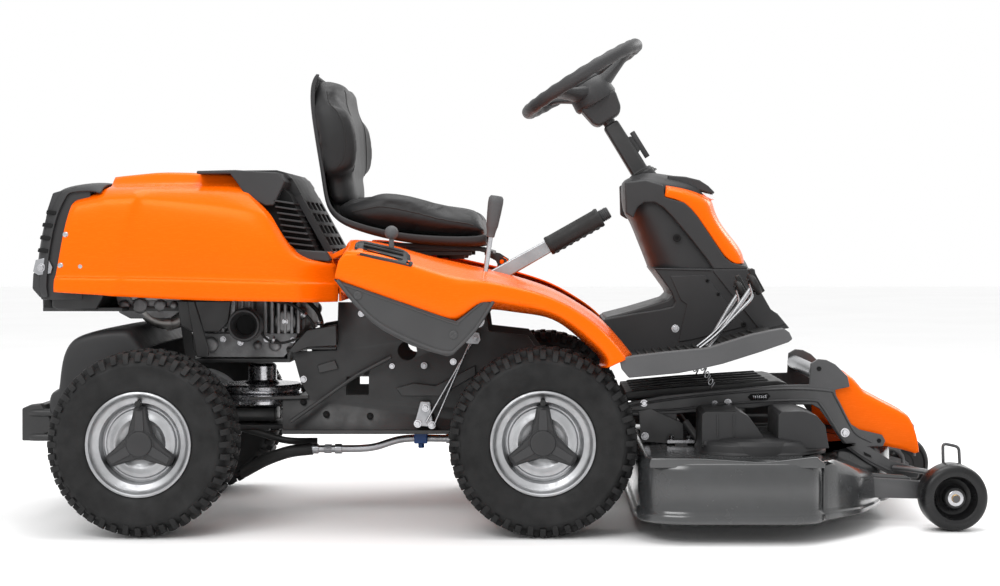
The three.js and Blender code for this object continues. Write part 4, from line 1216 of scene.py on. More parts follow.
def inflate(obj, limit, pressure=4.0, voxel=6, frames=20):
    """Puffs a pad up as stuffed vinyl and keeps it within limit millimetres of its pattern."""
    obj.parent = None
    remesh = obj.modifiers.new("remesh", "REMESH")
    remesh.mode = "VOXEL"
    remesh.voxel_size = voxel * MM
    apply_modifiers(obj)
    before = [v.co.copy() for v in obj.data.vertices]
    cloth = obj.modifiers.new("cloth", "CLOTH")
    settings = cloth.settings
    settings.quality = 6
    settings.mass = 0.4
    settings.tension_stiffness = settings.compression_stiffness = 12
    settings.shear_stiffness = 8
    settings.bending_stiffness = 3
    settings.use_pressure = True
    settings.uniform_pressure_force = pressure
    settings.effector_weights.gravity = 0
    cloth.collision_settings.use_collision = False
    cloth.point_cache.frame_start, cloth.point_cache.frame_end = 1, frames
    for number in range(1, frames + 1):
        scene.frame_set(number)
    apply_modifiers(obj)
    scene.frame_set(1)
    for vertex, start in zip(obj.data.vertices, before):
        move = vertex.co - start
        if move.length > limit * MM:
            vertex.co = start + move.normalized() * limit * MM


def apply_modifiers(obj):
    shown = obj.evaluated_get(bpy.context.evaluated_depsgraph_get())
    result = bpy.data.meshes.new_from_object(shown)
    obj.modifiers.clear()
    obj.data = result
    obj.data.shade_smooth()


def pad(name, shape, node, limit):
    """A stuffed pad of the seat in place of a CAD node."""
    obj = mesh_object(name, shape.bm, mat_vinyl, None, 180)
    soften(obj)
    apply_modifiers(obj)
    inflate(obj, limit)
    soften(obj)
    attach(obj, "seat")
    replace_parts(obj, node)


def seat_section(x, top, bottom, half, bolster):
    """Across the seat: higher bolsters at the sides than in the middle."""
    middle = top - bolster
    return [(x, -half, bottom + 14), (x, -half - 4, (top + bottom) / 2), (x, -half + 8, top - 8),
            (x, -half + 44, top), (x, -half + 92, middle + 4), (x, 0, middle),
            (x, half - 92, middle + 4), (x, half - 44, top), (x, half - 8, top - 8),
            (x, half + 4, (top + bottom) / 2), (x, half, bottom + 14), (x, half - 40, bottom),
            (x, 0, bottom - 2), (x, -half + 40, bottom)]


def seat_cushion():
    stations = [(-384, 716, 698, 120, 0), (-378, 724, 690, 158, 2), (-356, 728, 682, 192, 6),
                (-330, 731, 677, 208, 10), (-300, 737, 671, 215, 16), (-268, 743, 666, 219, 20),
                (-208, 736, 659, 221, 22), (-150, 716, 654, 221, 12), (-100, 705, 650, 220, 5),
                (-62, 698, 646, 216, 2), (-42, 684, 644, 209, 1), (-33, 664, 645, 198, 0),
                (-31, 655, 647, 186, 0)]
    shape = cage([seat_section(*s) for s in stations])
    pad("look_seat_cushion", shape, "seat_cushion", 8)


def back_section(z, rear, front, half, bolster):
    """Across the backrest at one height."""
    middle = front - bolster
    return [(rear, -half + 4, z), ((rear + front) / 2, -half - 3, z), (front - 8, -half + 6, z),
            (front, -half + 30, z), (middle + 4, -half + 66, z), (middle, 0, z),
            (middle + 4, half - 66, z), (front, half - 30, z), (front - 8, half - 6, z),
            ((rear + front) / 2, half + 3, z), (rear, half - 4, z), (rear + 13, half - 22, z),
            (rear + 15, 0, z), (rear + 13, -half + 22, z)]


def seat_back():
    stations = [(704, -390, -350, 148, 0), (724, -395, -346, 156, 0), (758, -400, -349, 162, 0),
                (778, -404, -353, 168, 0), (787, -405, -352, 196, 4), (800, -408, -338, 206, 14),
                (820, -411, -331, 210, 24), (862, -419, -330, 211, 28), (900, -425, -333, 209, 26),
                (936, -431, -344, 203, 20), (953, -433, -366, 194, 4), (985, -431, -371, 178, -8),
                (1004, -428, -384, 160, -6), (1012, -421, -399, 130, 0)]
    shape = cage([back_section(*s) for s in stations])
    pad("look_seat_backrest", shape, "seat_backrest", 8)


seat_cushion()
seat_back()


# ------------------------------------------------------------------ cutting deck
def rounded_outline(points, radius):
    """A closed outline with its corners rounded."""
    points = [Vector((x, y, 0)) for x, y in points]
    following = points[1:] + points[:1]
    return [(p.x, p.y) for i, corner in enumerate(points)
            for p in bend(points[i - 1], corner, following[i], radius, 5)]


def grown(outline, distance):
    """The outline moved outwards by a distance."""
    area = sum(a[0] * b[1] - b[0] * a[1] for a, b in zip(outline, outline[1:] + outline[:1]))
    way = 1 if area > 0 else -1
    result = []
    for i, point in enumerate(outline):
        before, after = outline[i - 1], outline[(i + 1) % len(outline)]
        along = Vector((after[0] - before[0], after[1] - before[1]))
        if along.length < 1e-6:
            result.append(point)
            continue
        along.normalize()
        result.append((point[0] + along.y * distance * way, point[1] - along.x * distance * way))
    return result


def stack(shape, outline, levels):
    """Rings of one outline at levels of (z, growth)."""
    return [shape.ring([(x, y, z) for x, y in grown(outline, growth)]) for z, growth in levels]


DECK_HALF = [(300, 420), (318, 462), (345, 488), (392, 501), (620, 501), (664, 487), (684, 462),
             (700, 400), (735, 245), (760, 176), (868, 166), (900, 92)]
DECK_OUTLINE = [(x, -y) for x, y in DECK_HALF] + DECK_HALF[::-1]
DECK_SIDE_Y = 177.5  # the inner face of the lifting frame's side plates
DECK_FACE_Y = 185.5  # their outer face


def deck_pan():
    outline = rounded_outline(DECK_OUTLINE, 26)
    shape = Shape()
    levels = [(46, 1), (45, 5), (47, 7), (58, 7), (62, 4), (66, 1), (72, -1), (110, 0), (150, -1),
              (163, -4), (171, -11), (175, -22), (175, -40)]
    rings = stack(shape, outline, levels)
    shape.skin(rings, caps=False)
    shape.bm.faces.new(rings[-1])
    pan = shape.piece("look_deck_pan", mat_deck_paint, "deck", "deck_steel", thick=3.5,
                      smooth=40)
    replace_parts(pan, "deck_shell")
    trim = Shape()
    for sign in (-1, 1):
        trim.slab([(318, 172), (322, 181), (430, 180), (560, 172), (668, 184), (686, 170),
                   (686, 160), (318, 160)], sign, 470, 494)
        trim.slab([(690, 66), (700, 60), (704, 160), (694, 170)], sign, 396, 430)
        trim.slab([(704, 118), (720, 124), (900, 112), (918, 106), (918, 96), (720, 96),
                   (704, 100)], sign, 226, 240)
    trim.piece("deck_pan_ribs", mat_deck_paint, "deck", "deck_steel", bevel=3, sides=3)
    arms = Shape()
    for sign in (-1, 1):
        arms.slab([(730, 112), (800, 110), (900, 104), (960, 98), (1000, 88), (1013, 78),
                   (1013, 66), (1000, 57), (960, 60), (730, 66)], sign, 240, 252)
        arms.block(350, 400, *sorted((sign * 150, sign * DECK_SIDE_Y)), 170, 275)
        arms.rod((997, sign * 250, 73), (997, sign * 338, 73), 9, segments=28)
    arms.piece("castor_arms", mat_deck_frame, "deck", "deck_steel", bevel=2.5, sides=3)
    loops = Shape()
    for sign in (-1, 1):
        loops.tube(bent_path([(990, sign * 246, 96), (988, sign * 246, 184),
                              (1024, sign * 246, 176), (1028, sign * 246, 96)], 10), 3.6, 14)
    loops.piece("castor_loops", mat_deck_frame, "deck", "deck_steel", smooth=60)


def belt_covers():
    for place, sign in (("right", -1), ("left", 1)):
        shape = Shape()

        def dome(points, radius, levels):
            outline = rounded_outline([(x, sign * y) for x, y in points], radius)
            shape.skin(stack(shape, outline, levels))

        dome([(434, 204), (434, 396), (500, 434), (640, 424), (716, 340), (716, 204)], 30,
             [(173.5, 0), (180, 0), (182, -3), (198, -5), (205, -12), (206, -30)])
        shape.slab([(437, 190), (438, 262), (446, 268), (520, 268), (538, 258), (575, 208),
                    (580, 190)], sign, 232, 384)
        shape.slab([(600, 190), (601, 262), (608, 269), (656, 270), (684, 260), (702, 238),
                    (710, 190)], sign, 216, 396)
        shape.lathe([(0.5, 150), (107, 150), (108, 198), (103, 207), (92, 211), (0.5, 211)],
                    (557, sign * 326, 0), axis="z", segments=72)
        piece = shape.piece(f"look_belt_cover_{place}", mat_tower, "deck", "dark_plastic",
                            bevel=7, sides=4, smooth=45)
        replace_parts(piece, f"belt_cover_{place}")
        ribs = Shape()
        for x in (470, 505):
            ribs.slab([(x, 214), (x + 3, 214), (x + 3, 262), (x, 262)], sign, 380, 387)
        for x, y in ((446, 386), (592, 420), (700, 330)):
            bolt(ribs, (x, sign * y, 196), "z", 6, 9, 1)
        ribs.piece(f"belt_cover_ribs_{place}", mat_dark, "deck", "dark_plastic", bevel=0.8)


def front_cover():
    top = [(757, 336), (780, 337), (798, 328), (812, 312), (826, 294), (868, 271), (910, 250),
           (926, 240), (938, 222), (948, 185), (951, 156)]
    foot = [(757, 190), (780, 186), (798, 182), (812, 180), (826, 178), (868, 170), (905, 163),
            (918, 160), (928, 157), (938, 154), (942, 152)]
    rows = []
    for share, y, fall in ((1.0, 166, 0), (0.55, 171, 0), (0.12, 170, 0), (0.03, 163, 0),
                           (0.0, 150, -1), (0.0, 96, -1), (0.0, 84, 3), (0.0, 0, 3)):
        row = []
        for (tx, tz), (fx, fz) in zip(top, foot):
            row.append((tx + (fx - tx) * share + (fall if fall > 0 else 0) * 0.4, -y,
                        tz + (fz - tz) * share + fall * 0.5))
        rows.append(row)
    shape = Shape().sheet(rows, row_creases={0: 1, 2: 0.3, 5: 0.6, 6: 0.6},
                          column_creases={0: 1, 4: 0.55, 7: 0.3, 10: 1}, mirror=True)
    piece = shape.piece("look_front_cover", mat_orange, "deck", "orange_plastic", thick=3.5,
                        levels=2, smooth=180)
    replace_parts(piece, "deck_front_cover")


DECK_SIDE = [
    (140, 240), (147, 224), (165, 216), (183, 222), (230, 238), (290, 239), (400, 244),
    (469, 250), (485, 256), (571, 256), (617, 264), (706, 264), (723, 254), (750, 215),
    (781, 168), (836, 129), (883, 104), (905, 98), (945, 98), (953, 118), (922, 128),
    (883, 139), (836, 169), (866, 170), (872, 183), (864, 196), (813, 208), (794, 220),
    (762, 274), (758, 298), (791, 305), (786, 329), (758, 356), (738, 366), (719, 368),
    (702, 358), (699, 310), (633, 309), (485, 297), (368, 286), (290, 270), (230, 262),
    (183, 262), (165, 266), (147, 258)]


def deck_side_plates():
    """The lifting frame's pressed side plates, each with a pivot eye at its rear end."""
    shape = Shape()
    for sign in (-1, 1):
        shape.slab(DECK_SIDE, sign, 178, DECK_FACE_Y)
        shape.rod((165, sign * 176, 240), (165, sign * 189, 240), 30, segments=48)
    piece = shape.piece("look_deck_frame", mat_deck_frame, "deck", "frame_steel", bevel=2,
                        sides=3)
    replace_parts(piece, "deck_frame")
    skirt = Shape()
    outline = [(684, 466), (716, 440), (786, 360), (826, 280), (860, 190), (740, 190), (680, 400)]
    for sign in (-1, 1):
        curve = rounded_outline([(x, sign * y) for x, y in outline], 30)
        rings = []
        for share, growth in ((0, -1), (0, 4), (0.1, 4), (0.14, 0), (0.2, -1), (0.8, -3),
                              (0.93, -7), (1, -16)):
            rings.append(skirt.ring([(x, y, 47 + share * (121 - max(0, x - 716) * 0.42))
                                     for x, y in grown(curve, growth)]))
        skirt.skin(rings)
    skirt.piece("deck_front_skirt", mat_deck_paint, "deck", "deck_steel", bevel=1.5, smooth=40)


deck_side_plates()


def castors():
    for place, sign in (("right", -1), ("left", 1)):
        body = f"castor_wheel_{place}"
        centre = (997, sign * 300, 73.1)
        tyre = [(11, -36), (30, -36), (34, -32), (58, -32), (62, -36.5), (67, -36), (71, -31),
                (73, -22), (73.1, 0), (73, 20), (71, 29), (67, 34), (60, 37), (53, 36.5),
                (48, 34), (46, 29), (44, 16), (39, 6), (30, 3), (25, 6), (23.5, 22), (22, 29),
                (19, 30), (11, 30)]
        shape = Shape().lathe(tyre, centre, segments=96, out=sign, hollow=True)
        wheel = shape.piece(f"look_castor_{place}", mat_castor, body, "castor_tyre", smooth=35)
        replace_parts(wheel, f"castor_wheel_{place}")
        cap = Shape().lathe([(17, 28), (17, 32), (15.5, 33), (9.5, 33), (9.5, 28)], centre,
                            segments=40, out=sign, hollow=True)
        cap.piece(f"castor_washer_{place}", mat_bright, "deck", "zinc_steel")
        end_cap = Shape().lathe([(9.3, 28), (9.3, 36), (8, 37.5), (4, 37), (0.4, 36)], centre,
                                segments=32, out=sign)
        end_cap.piece(f"castor_bush_{place}", mat_brass, "deck", "zinc_steel")


def deck_details():
    """Fastenings and fittings on the deck's side plates."""
    bright, dark, grey = Shape(), Shape(), Shape()
    for sign in (-1, 1):
        face = sign * DECK_FACE_Y
        for x, z, r in ((514, 269, 7), (780, 201, 8), (324, 268, 6.5), (484, 268, 5)):
            bolt(bright, (x, face, z), radius=r, height=6, out=sign)
        # A near-black slot behind the spring: painted shadow.
        dark.slab([(559, 282), (566, 289), (604, 291), (611, 284), (604, 276), (566, 274)],
                  sign, 185, 187)
        coil = [(570 + 32 * k / 60, sign * (190 + 4 * math.sin(TAU * 7 * k / 60)),
                 282 + 4.5 * math.cos(TAU * 7 * k / 60)) for k in range(61)]
        bright.tube(coil, 1.2, 8)
        grey.slab([(312, 250), (338, 256), (412, 222), (412, 184), (372, 178), (318, 182)],
                  sign, 187, 192)
        bolt(bright, (326, sign * 192, 194), radius=7, height=6, out=sign)
        bright.slab([(374, 188), (436, 188), (436, 181), (374, 181)], sign, 200, 222)
        for x in (384, 424):
            bolt(bright, (x, sign * 211, 188), "z", 7, 10, 1)
        grey.slab([(392, 182), (418, 182), (418, 176), (392, 176)], sign, 190, 230)
        grey.rod((416, sign * 196, 228), (450, sign * 210, 180), 8, segments=24)
        # Round holes and a notch drawn as near-black discs and a patch: painted shadow.
        bolt(dark, (857, sign * 186, 183), radius=6, height=2, out=sign, washer=False)
        bolt(dark, (721, sign * 185, 346), radius=6.5, height=2, out=sign, washer=False)
        dark.slab([(822, 158), (838, 150), (840, 144), (824, 150)], sign, 185, 187.5)
        for low_run in ([(292, 249), (400, 254), (484, 264), (600, 272), (704, 274), (726, 262),
                         (752, 222), (784, 176), (836, 138), (890, 112)],
                        [(292, 262), (380, 276), (484, 288), (640, 300), (742, 296), (758, 282),
                         (786, 228), (806, 198), (840, 180)]):
            path = smooth_path([(x, 0, z) for x, z in low_run])
            grey.tube([(p.x, sign * 185, p.z) for p in path], 3.2, 10)
        grey.tube(bent_path([(890, sign * 190, 122), (930, sign * 224, 122), (975, sign * 246, 116),
                             (997, sign * 246, 96), (997, sign * 246, 74)], 22), 9, 18, 0.7)
    bright.piece("deck_bolts", mat_bright, "deck", "zinc_steel", bevel=0.5)
    dark.piece("deck_slots", mat_painted_shadow, "deck", "frame_steel", bevel=0.6)
    grey.piece("deck_brackets", mat_deck_frame, "deck", "frame_steel", bevel=1.4)
    tray = Shape().prism([(282, 276), (284, 291), (420, 303), (632, 316), (650, 312), (664, 296),
                          (664, 280)], -150, 150)
    for y in (-128, -70, 0, 70, 128):
        tray.prism([(296, 288), (300, 296), (420, 307), (610, 319), (620, 310)], y - 6, y + 6)
    tray.piece("deck_tray", mat_frame, "deck", "frame_steel", bevel=2, sides=2)
    tube = Shape().rod((716, -178, 336), (716, 178, 336), 17, segments=40)
    tube.piece("deck_cross_tube", mat_zinc, "deck", "frame_steel", bevel=1)
    links = Shape()
    for sign in (-1, 1):
        for k in range(6):
            middle = Vector((457 + 4.2 * k, sign * 200, 350 - 8.1 * k))
            turn = Matrix.Rotation(math.radians(27), 4, "Y") @ Matrix.Rotation(
                math.radians(90 * (k % 2)), 4, "Z")
            loop = [middle + turn @ Vector((4 * math.cos(a), 0, 7 * math.sin(a)))
                    for a in turns(20) + [TAU]]
            links.tube(loop, 1.5, 8)
    chains = links.piece("deck_chains", mat_zinc, None, "zinc_steel", smooth=60)
    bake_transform(chains)


deck_pan()
belt_covers()
front_cover()
castors()
deck_details()


# ------------------------------------------------------------------ levers and pedals
LIFT_LEVER = Matrix.Translation((-70, -268, 524)) @ Matrix.Rotation(math.radians(-29.5), 4, "Y")


def levers():
    bar = Shape().prism([(0, -14), (30, -17), (246, -14), (250, 0), (246, 14), (30, 17), (0, 14)],
                        -9, 9)
    bar.rod((0, -12, 0), (0, 12, 0), 21, segments=40)
    bar.move(LIFT_LEVER)
    piece = bar.piece("look_lift_lever", mat_lever, "lift_lever", "zinc_steel", bevel=3, sides=3)
    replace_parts(piece, "lift_lever")
    grip = Shape()
    profile = [(12, 202), (20, 202), (22, 206), (21, 212), (21, 326), (22.5, 331), (21, 336),
               (16.5, 336), (16.5, 302), (12, 302)]
    for k in range(7):
        x = 216 + 17 * k
        grip.rod((x, -12, -15), (x, 12, -15), 8, segments=28)
    grip.lathe(profile, (0, 0, 0), axis="x", segments=48, hollow=True)
    grip.move(LIFT_LEVER)
    grip.piece("lift_grip", mat_hose, "lift_lever", "zinc_steel", smooth=40)
    button = Shape()
    profile = [(0.5, 322), (13.5, 322), (13.5, 338)]
    for k in range(4):
        x = 339 + 4 * k
        profile += [(14, x), (14, x + 2.4), (12.6, x + 3), (12.6, x + 3.8)]
    profile += [(13.4, 356), (11, 358), (0.5, 358)]
    button.lathe(profile, (0, 0, 0), axis="x", segments=40)
    button.move(LIFT_LEVER)
    knob = button.piece("look_lift_button", mat_dark, "lift_button", "dark_plastic", smooth=40)
    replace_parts(knob, "lift_button")

    lean = math.radians(8.4)
    stand = Matrix.Translation((-47, -330, 460)) @ Matrix.Rotation(lean, 4, "Y")
    rod = Shape().lathe([(0.5, -2), (5.4, -2), (5.4, 195), (0.5, 195)], (0, 0, 0), axis="z",
                        segments=32)
    rod.rod((0, -6, 0), (0, 6, 0), 14, segments=32)
    rod.move(stand)
    piece = rod.piece("look_height_lever", mat_bright, "height_lever", "zinc_steel", bevel=0.6)
    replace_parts(piece, "height_lever")
    grip = Shape().lathe([(6, 186), (8.5, 187), (9.5, 196), (11.5, 206), (13, 210), (15.5, 240),
                          (16.8, 262), (16.2, 272), (12.5, 277.5), (0.5, 278)], (0, 0, 0),
                         axis="z", segments=48)
    grip.move(stand)
    grip.piece("height_grip", mat_grey, "height_lever", "grey_plastic", smooth=40)

    ball = Shape().lathe([(0.4, -15)] + [(15 * math.sin(math.radians(a)),
                                          -15 * math.cos(math.radians(a)))
                                         for a in range(12, 170, 11)] + [(0.4, 15)],
                         (-232, -381, 654), axis="z", segments=40)
    ball.lathe([(8, -42), (6, -30), (5, -12), (0.5, -12)], (-232, -381, 654), axis="z",
               segments=28)
    ball.block(-236, -228, -384, -378, 588, 620)
    piece = ball.piece("look_throttle", mat_grey, "throttle_lever", "grey_plastic", smooth=50)
    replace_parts(piece, "throttle_lever")
    panel = Shape()
    body = bpy.data.objects["look_body_side_right"]
    outline = rounded_outline([(-312, 0), (-180, 0), (-196, 54), (-306, 54)], 18)

    def on_slope(x, t, rise):
        """A place on the body's sloping shoulder, t up the slope."""
        ridge = 633 - max(0, x + 268) * 0.33
        near = Vector((x, -432 + 0.93 * t, ridge - 28 + 0.58 * t))
        return lay_on(body, near, rise)

    rings = []
    for rise, growth in ((0.5, 0), (7, 0), (9, -2.5), (9, -6), (7, -8)):
        rings.append(panel.ring([on_slope(x, t, rise) for x, t in grown(outline, growth)]))
    panel.skin(rings)
    cover = panel.piece("look_control_panel", mat_dark, "chassis", "dark_plastic", smooth=35)
    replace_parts(cover, "control_panel")
    # The slots are near-black strips in the painted-shadow material: painted shadow inside them.
    slot = Shape()
    for t, width in ((30, 3.5), (14, 2), (44, 2)):
        slot.skin([slot.ring([on_slope(x, t + w * width, rise)
                              for x, w in ((-290, -1), (-206, -1), (-206, 1), (-290, 1))])
                   for rise in (6, 8.2)])
    slot.piece("throttle_slots", mat_painted_shadow, "chassis", "dark_plastic")


def pedal(name, y, top, body):
    foot = Vector((452, y, 384))
    stem = Shape()
    stem.tube(bent_path([foot, (464, y, 404), (top[0] - 24, y, top[1] - 34),
                         (top[0] - 4, y, top[1] - 4)], 24), 5.2, 16)
    stem.tube(bent_path([(440, y - 8, 400), (478, y - 10, 430), (top[0] - 2, y - 12, top[1] - 26),
                         (top[0] - 10, y - 8, top[1] + 2)], 24), 3.4, 12)
    stem.rod((452, y - 17, 384), (452, y + 17, 384), 7.4, segments=24)
    piece = stem.piece(f"look_{name}", mat_lever, body, "frame_steel", smooth=50)
    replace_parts(piece, name)
    pad_shape = Shape()
    pad_shape.lathe([(0.5, -7), (21, -7), (26, -3), (27, 3), (24, 8), (0.5, 8)], (0, 0, 0),
                    axis="x", segments=48)
    for k in range(5):
        pad_shape.block(-10, -6, -19, 19, -18 + 8 * k, -14 + 8 * k)
    pad_shape.block(4, 14, -9, 9, -24, 34)
    pad_shape.move(Matrix.Translation((top[0], y, top[1])) @ Matrix.Rotation(-0.5, 4, "Y"))
    pad_shape.piece(f"{name}_pad", mat_hose, body, "hose_black", bevel=2.2, sides=3)


levers()
pedal("forward_pedal", -298, (560, 540), "forward_pedal")
pedal("reverse_pedal", -236, (538, 524), "reverse_pedal")
pedal("brake_pedal", 268, (552, 532), "brake_pedal")


# ------------------------------------------------------------------ engine and running gear
def engine():
    """Castings, a cooling shroud and the intake that show under the hood."""
    cast = Shape()
    cast.prism([(-700, 368), (-500, 368), (-480, 392), (-468, 424), (-712, 424), (-712, 384)],
               -134, 134)
    cast.prism([(-706, 418), (-470, 418), (-452, 440), (-452, 498), (-706, 498)], -118, 118)
    for sign in (-1, 1):
        for k in range(9):
            x = -698 + 15 * k
            cast.block(x, x + 6, *sorted((sign * 108, sign * 168)), 428, 552)
        cast.block(-704, -566, *sorted((sign * 104, sign * 160)), 436, 545)
        cast.slab([(-694, 446), (-612, 446), (-604, 456), (-604, 520), (-614, 530), (-690, 530),
                   (-698, 520), (-698, 456)], sign, 158, 176)
        for k in range(6):
            x = -542 + 15 * k
            cast.block(x, x + 7, *sorted((sign * 116, sign * 160)), 424, 500)
        for x, y, z, r, reach in ((-494, 136, 452, 26, 20), (-462, 120, 470, 16, 22),
                                  (-520, 134, 396, 14, 10), (-560, 134, 396, 10, 14),
                                  (-668, 134, 398, 18, 12)):
            cast.lathe([(r, -6), (r, reach - 4), (r - 4, reach), (r * 0.5, reach + 1),
                        (0.5, reach + 2)], (x, sign * y, z), segments=40, out=sign)
    cast.lathe([(0.5, 640), (58, 640), (92, 628), (112, 606), (120, 570), (120, 498),
                (0.5, 498)], (-590, 0, 0), axis="z", segments=72)
    piece = cast.piece("look_engine_block", mat_cast, "chassis", "cast_metal", bevel=2, sides=2)
    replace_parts(piece, "engine_block")
    duct = Shape().lathe([(30, 166), (36, 168), (36, 218), (34.5, 222), (31, 222), (29, 217),
                          (24, 205), (23, 180)], (-578, 0, 446), segments=64, out=-1, hollow=True)
    for k in range(3):
        duct.lathe([(35, 174 + 12 * k), (38.5, 176 + 12 * k), (38.5, 181 + 12 * k),
                    (35, 183 + 12 * k)], (-578, 0, 446), segments=64, out=-1, hollow=True)
    look = duct.piece("look_air_duct", mat_dark, "chassis", "dark_plastic", smooth=35)
    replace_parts(look, "air_duct")
    # A near-black disc inside the duct: painted shadow of its depth.
    core = Shape().lathe([(0.5, 180), (25, 180), (25, 186), (0.5, 186)], (-578, 0, 446),
                         segments=48, out=-1)
    core.piece("duct_core", mat_painted_shadow, "chassis", "dark_plastic")
    bolts = Shape()
    for sign in (-1, 1):
        for x, z, y in ((-688, 454, 176), (-614, 454, 176), (-688, 522, 176), (-614, 522, 176),
                        (-494, 452, 158), (-462, 470, 144), (-540, 410, 134), (-600, 402, 134),
                        (-480, 408, 134), (-640, 410, 134)):
            bolt(bolts, (x, sign * y, z), radius=5.5, height=6, out=sign)
    bolts.piece("engine_bolts", mat_bright, "chassis", "zinc_steel", bevel=0.4)
    hoses = Shape()
    runs = [[(-640, -150, 478), (-660, -166, 500), (-696, -166, 478), (-716, -150, 452),
             (-706, -138, 430)],
            [(-450, -118, 500), (-420, -140, 470), (-412, -150, 430), (-440, -160, 398),
             (-490, -158, 386)],
            [(-520, -172, 500), (-470, -176, 488), (-430, -170, 450), (-426, -164, 410)],
            [(-560, -170, 480), (-540, -178, 420), (-500, -176, 404), (-440, -170, 420),
             (-400, -162, 410)]]
    for run, radius in zip(runs, (6, 5, 3.5, 3)):
        hoses.tube(smooth_path(run), radius, 14)
    hoses.piece("engine_hoses", mat_hose, "chassis", "hose_black", smooth=60)
    clips = Shape()
    for run in runs:
        a, b = Vector(run[1]), Vector(run[2])
        middle = (a + b) / 2
        clips.rod(middle, middle + (b - a).normalized() * 6, 8, segments=24)
    clips.piece("hose_clips", mat_zinc, "chassis", "zinc_steel", bevel=0.5)
    shroud = Shape()
    for sign in (-1, 1):
        shroud.slab([(-374, 446), (-374, 398), (-440, 394), (-470, 380), (-486, 384), (-442, 434)],
                    sign, 158, 178)
        shroud.slab([(-735, 500), (-612, 500), (-618, 452), (-640, 430), (-700, 428), (-728, 446)],
                    sign, 150, 186)
        shroud.slab([(-712, 500), (-694, 500), (-662, 392), (-664, 372), (-690, 372)],
                    sign, 184, 190)
    shroud.prism([(-1004, 524), (-1004, 488), (-990, 482), (-905, 482), (-886, 520)], -238, 238)
    shroud.piece("engine_shroud", mat_black, "chassis", "frame_steel", bevel=2.5)
    flange = Shape().prism([(-884, 516), (-876, 472), (-850, 458), (-760, 458), (-735, 474),
                            (-728, 516)], -148, 148)
    for sign in (-1, 1):
        for x, r in ((-862, 13), (-826, 18), (-780, 14), (-748, 10)):
            flange.lathe([(r, 140), (r, 158), (r - 3, 161), (r * 0.4, 162), (0.5, 162)],
                         (x, 0, 488), segments=32, out=sign)
    flange.piece("exhaust_casting", mat_cast, "chassis", "cast_metal", bevel=3, sides=3)


def exhaust():
    """Ribbed muffler box behind the engine, with a U-bent pipe under its right side."""
    box = Shape().prism([(-845, 498), (-735, 498), (-726, 510), (-726, 566), (-738, 578),
                         (-842, 578), (-854, 566), (-854, 510)], -150, 150)
    for k in range(6):
        y = -120 + 44 * k
        box.prism([(-856, 504), (-724, 504), (-724, 572), (-856, 572)], y, y + 5)
    body = box.piece("look_muffler", mat_exhaust, "chassis", "exhaust_steel", bevel=5, sides=3)
    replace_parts(body, "muffler")
    pipe = Shape()
    pipe.tube(bent_path([(-834, -132, 524), (-832, -134, 498), (-810, -136, 460),
                         (-782, -136, 447), (-746, -136, 447), (-730, -134, 460),
                         (-722, -128, 470)], 30), 14, 28)
    pipe.rod((-768, -136, 447), (-756, -136, 447), 17, segments=32)
    pipe.piece("exhaust_pipe", mat_exhaust, "chassis", "exhaust_steel", smooth=50)


FRAME_FACE_Y = 156.5  # the outer face of the main frame's rails


def chassis_details():
    """Bolts, brackets, pipes and hoses along the main frame."""
    bright, dark, plates = Shape(), Shape(), Shape()
    for sign in (-1, 1):
        face = sign * FRAME_FACE_Y
        # Bolts at 300 mm and below go into the near-black painted-shadow piece: painted shade low on
        # the frame, under the bodywork; the higher ones are bright.
        for x, z, r in ((-452, 320, 6), (-452, 268, 6), (-400, 240, 6), (-300, 236, 6),
                        (-160, 236, 6), (-120, 300, 6), (-250, 350, 5), (-320, 470, 6),
                        (-110, 360, 6), (-40, 300, 6)):
            bolt(bright if z > 300 else dark, (x, face, z), radius=r, height=6, out=sign)
        # A near-black disc: painted shadow of a hole in the rail.
        dark.rod((-309, sign * 156, 337), (-309, sign * 157.5, 337), 8, segments=28)
        plates.slab([(-420, 352), (-380, 364), (-372, 344), (-416, 334)], sign, 156, 163)
        plates.slab([(-240, 300), (-200, 312), (-150, 306), (-60, 352), (-58, 330), (-140, 282),
                     (-226, 282)], sign, 156, 166)
        plates.slab([(-575, 279), (-440, 283), (-440, 276), (-575, 272)], sign, 150, 162)
        plates.tube([(-480, sign * 172, 224), (-330, sign * 172, 330), (-250, sign * 170, 372)],
                    4.5, 14)
        plates.slab([(-500, 205), (204, 205), (204, 196), (-500, 196)], sign, 157, 172)
    bright.piece("frame_bolts", mat_bright, "chassis", "zinc_steel", bevel=0.4)
    dark.piece("frame_fixings", mat_painted_shadow, "chassis", "frame_steel", bevel=0.4)
    plates.piece("frame_brackets", mat_frame, "chassis", "frame_steel", bevel=1.6)
    pipe = Shape()
    pipe.tube(smooth_path([(20, -120, 186), (-60, -122, 184), (-122, -120, 181), (-225, -120, 180),
                           (-300, -120, 160), (-380, -120, 157), (-440, -120, 157)]), 8.5, 20)
    for x, z in ((-430, 157), (-400, 157), (-376, 157), (-120, 181), (-60, 184)):
        pipe.rod((x - 8, -120, z), (x + 8, -120, z), 11.5, segments=6 if x == -400 else 28)
    silver = pipe.piece("look_hydraulic_pipe", mat_zinc, "chassis", "zinc_steel", bevel=0.6,
                        smooth=50)
    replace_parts(silver, "hydraulic_pipe")
    hose = Shape()
    hose.tube(smooth_path([(-436, -120, 157), (-490, -120, 150), (-545, -110, 130),
                           (-600, -90, 100)]), 14, 20)
    hose.tube(smooth_path([(-430, -80, 170), (-500, -84, 172), (-560, -70, 186),
                           (-640, -50, 205)]), 8, 16)
    hose.tube(smooth_path([(20, -140, 214), (-90, -150, 214), (-200, -142, 206),
                           (-330, -130, 200), (-430, -120, 196)]), 5.5, 14)
    hose.piece("hydraulic_hoses", mat_hose, "chassis", "hose_black", smooth=60)
    block = Shape().block(-200, -170, -150, -108, 172, 200)
    block.rod((-185, -129, 172), (-185, -129, 160), 7, segments=24)
    block.piece("pipe_coupling", mat_blue, "chassis", "hose_black", bevel=2)


STEER_X = -570  # the upright line that the rear carriage turns about


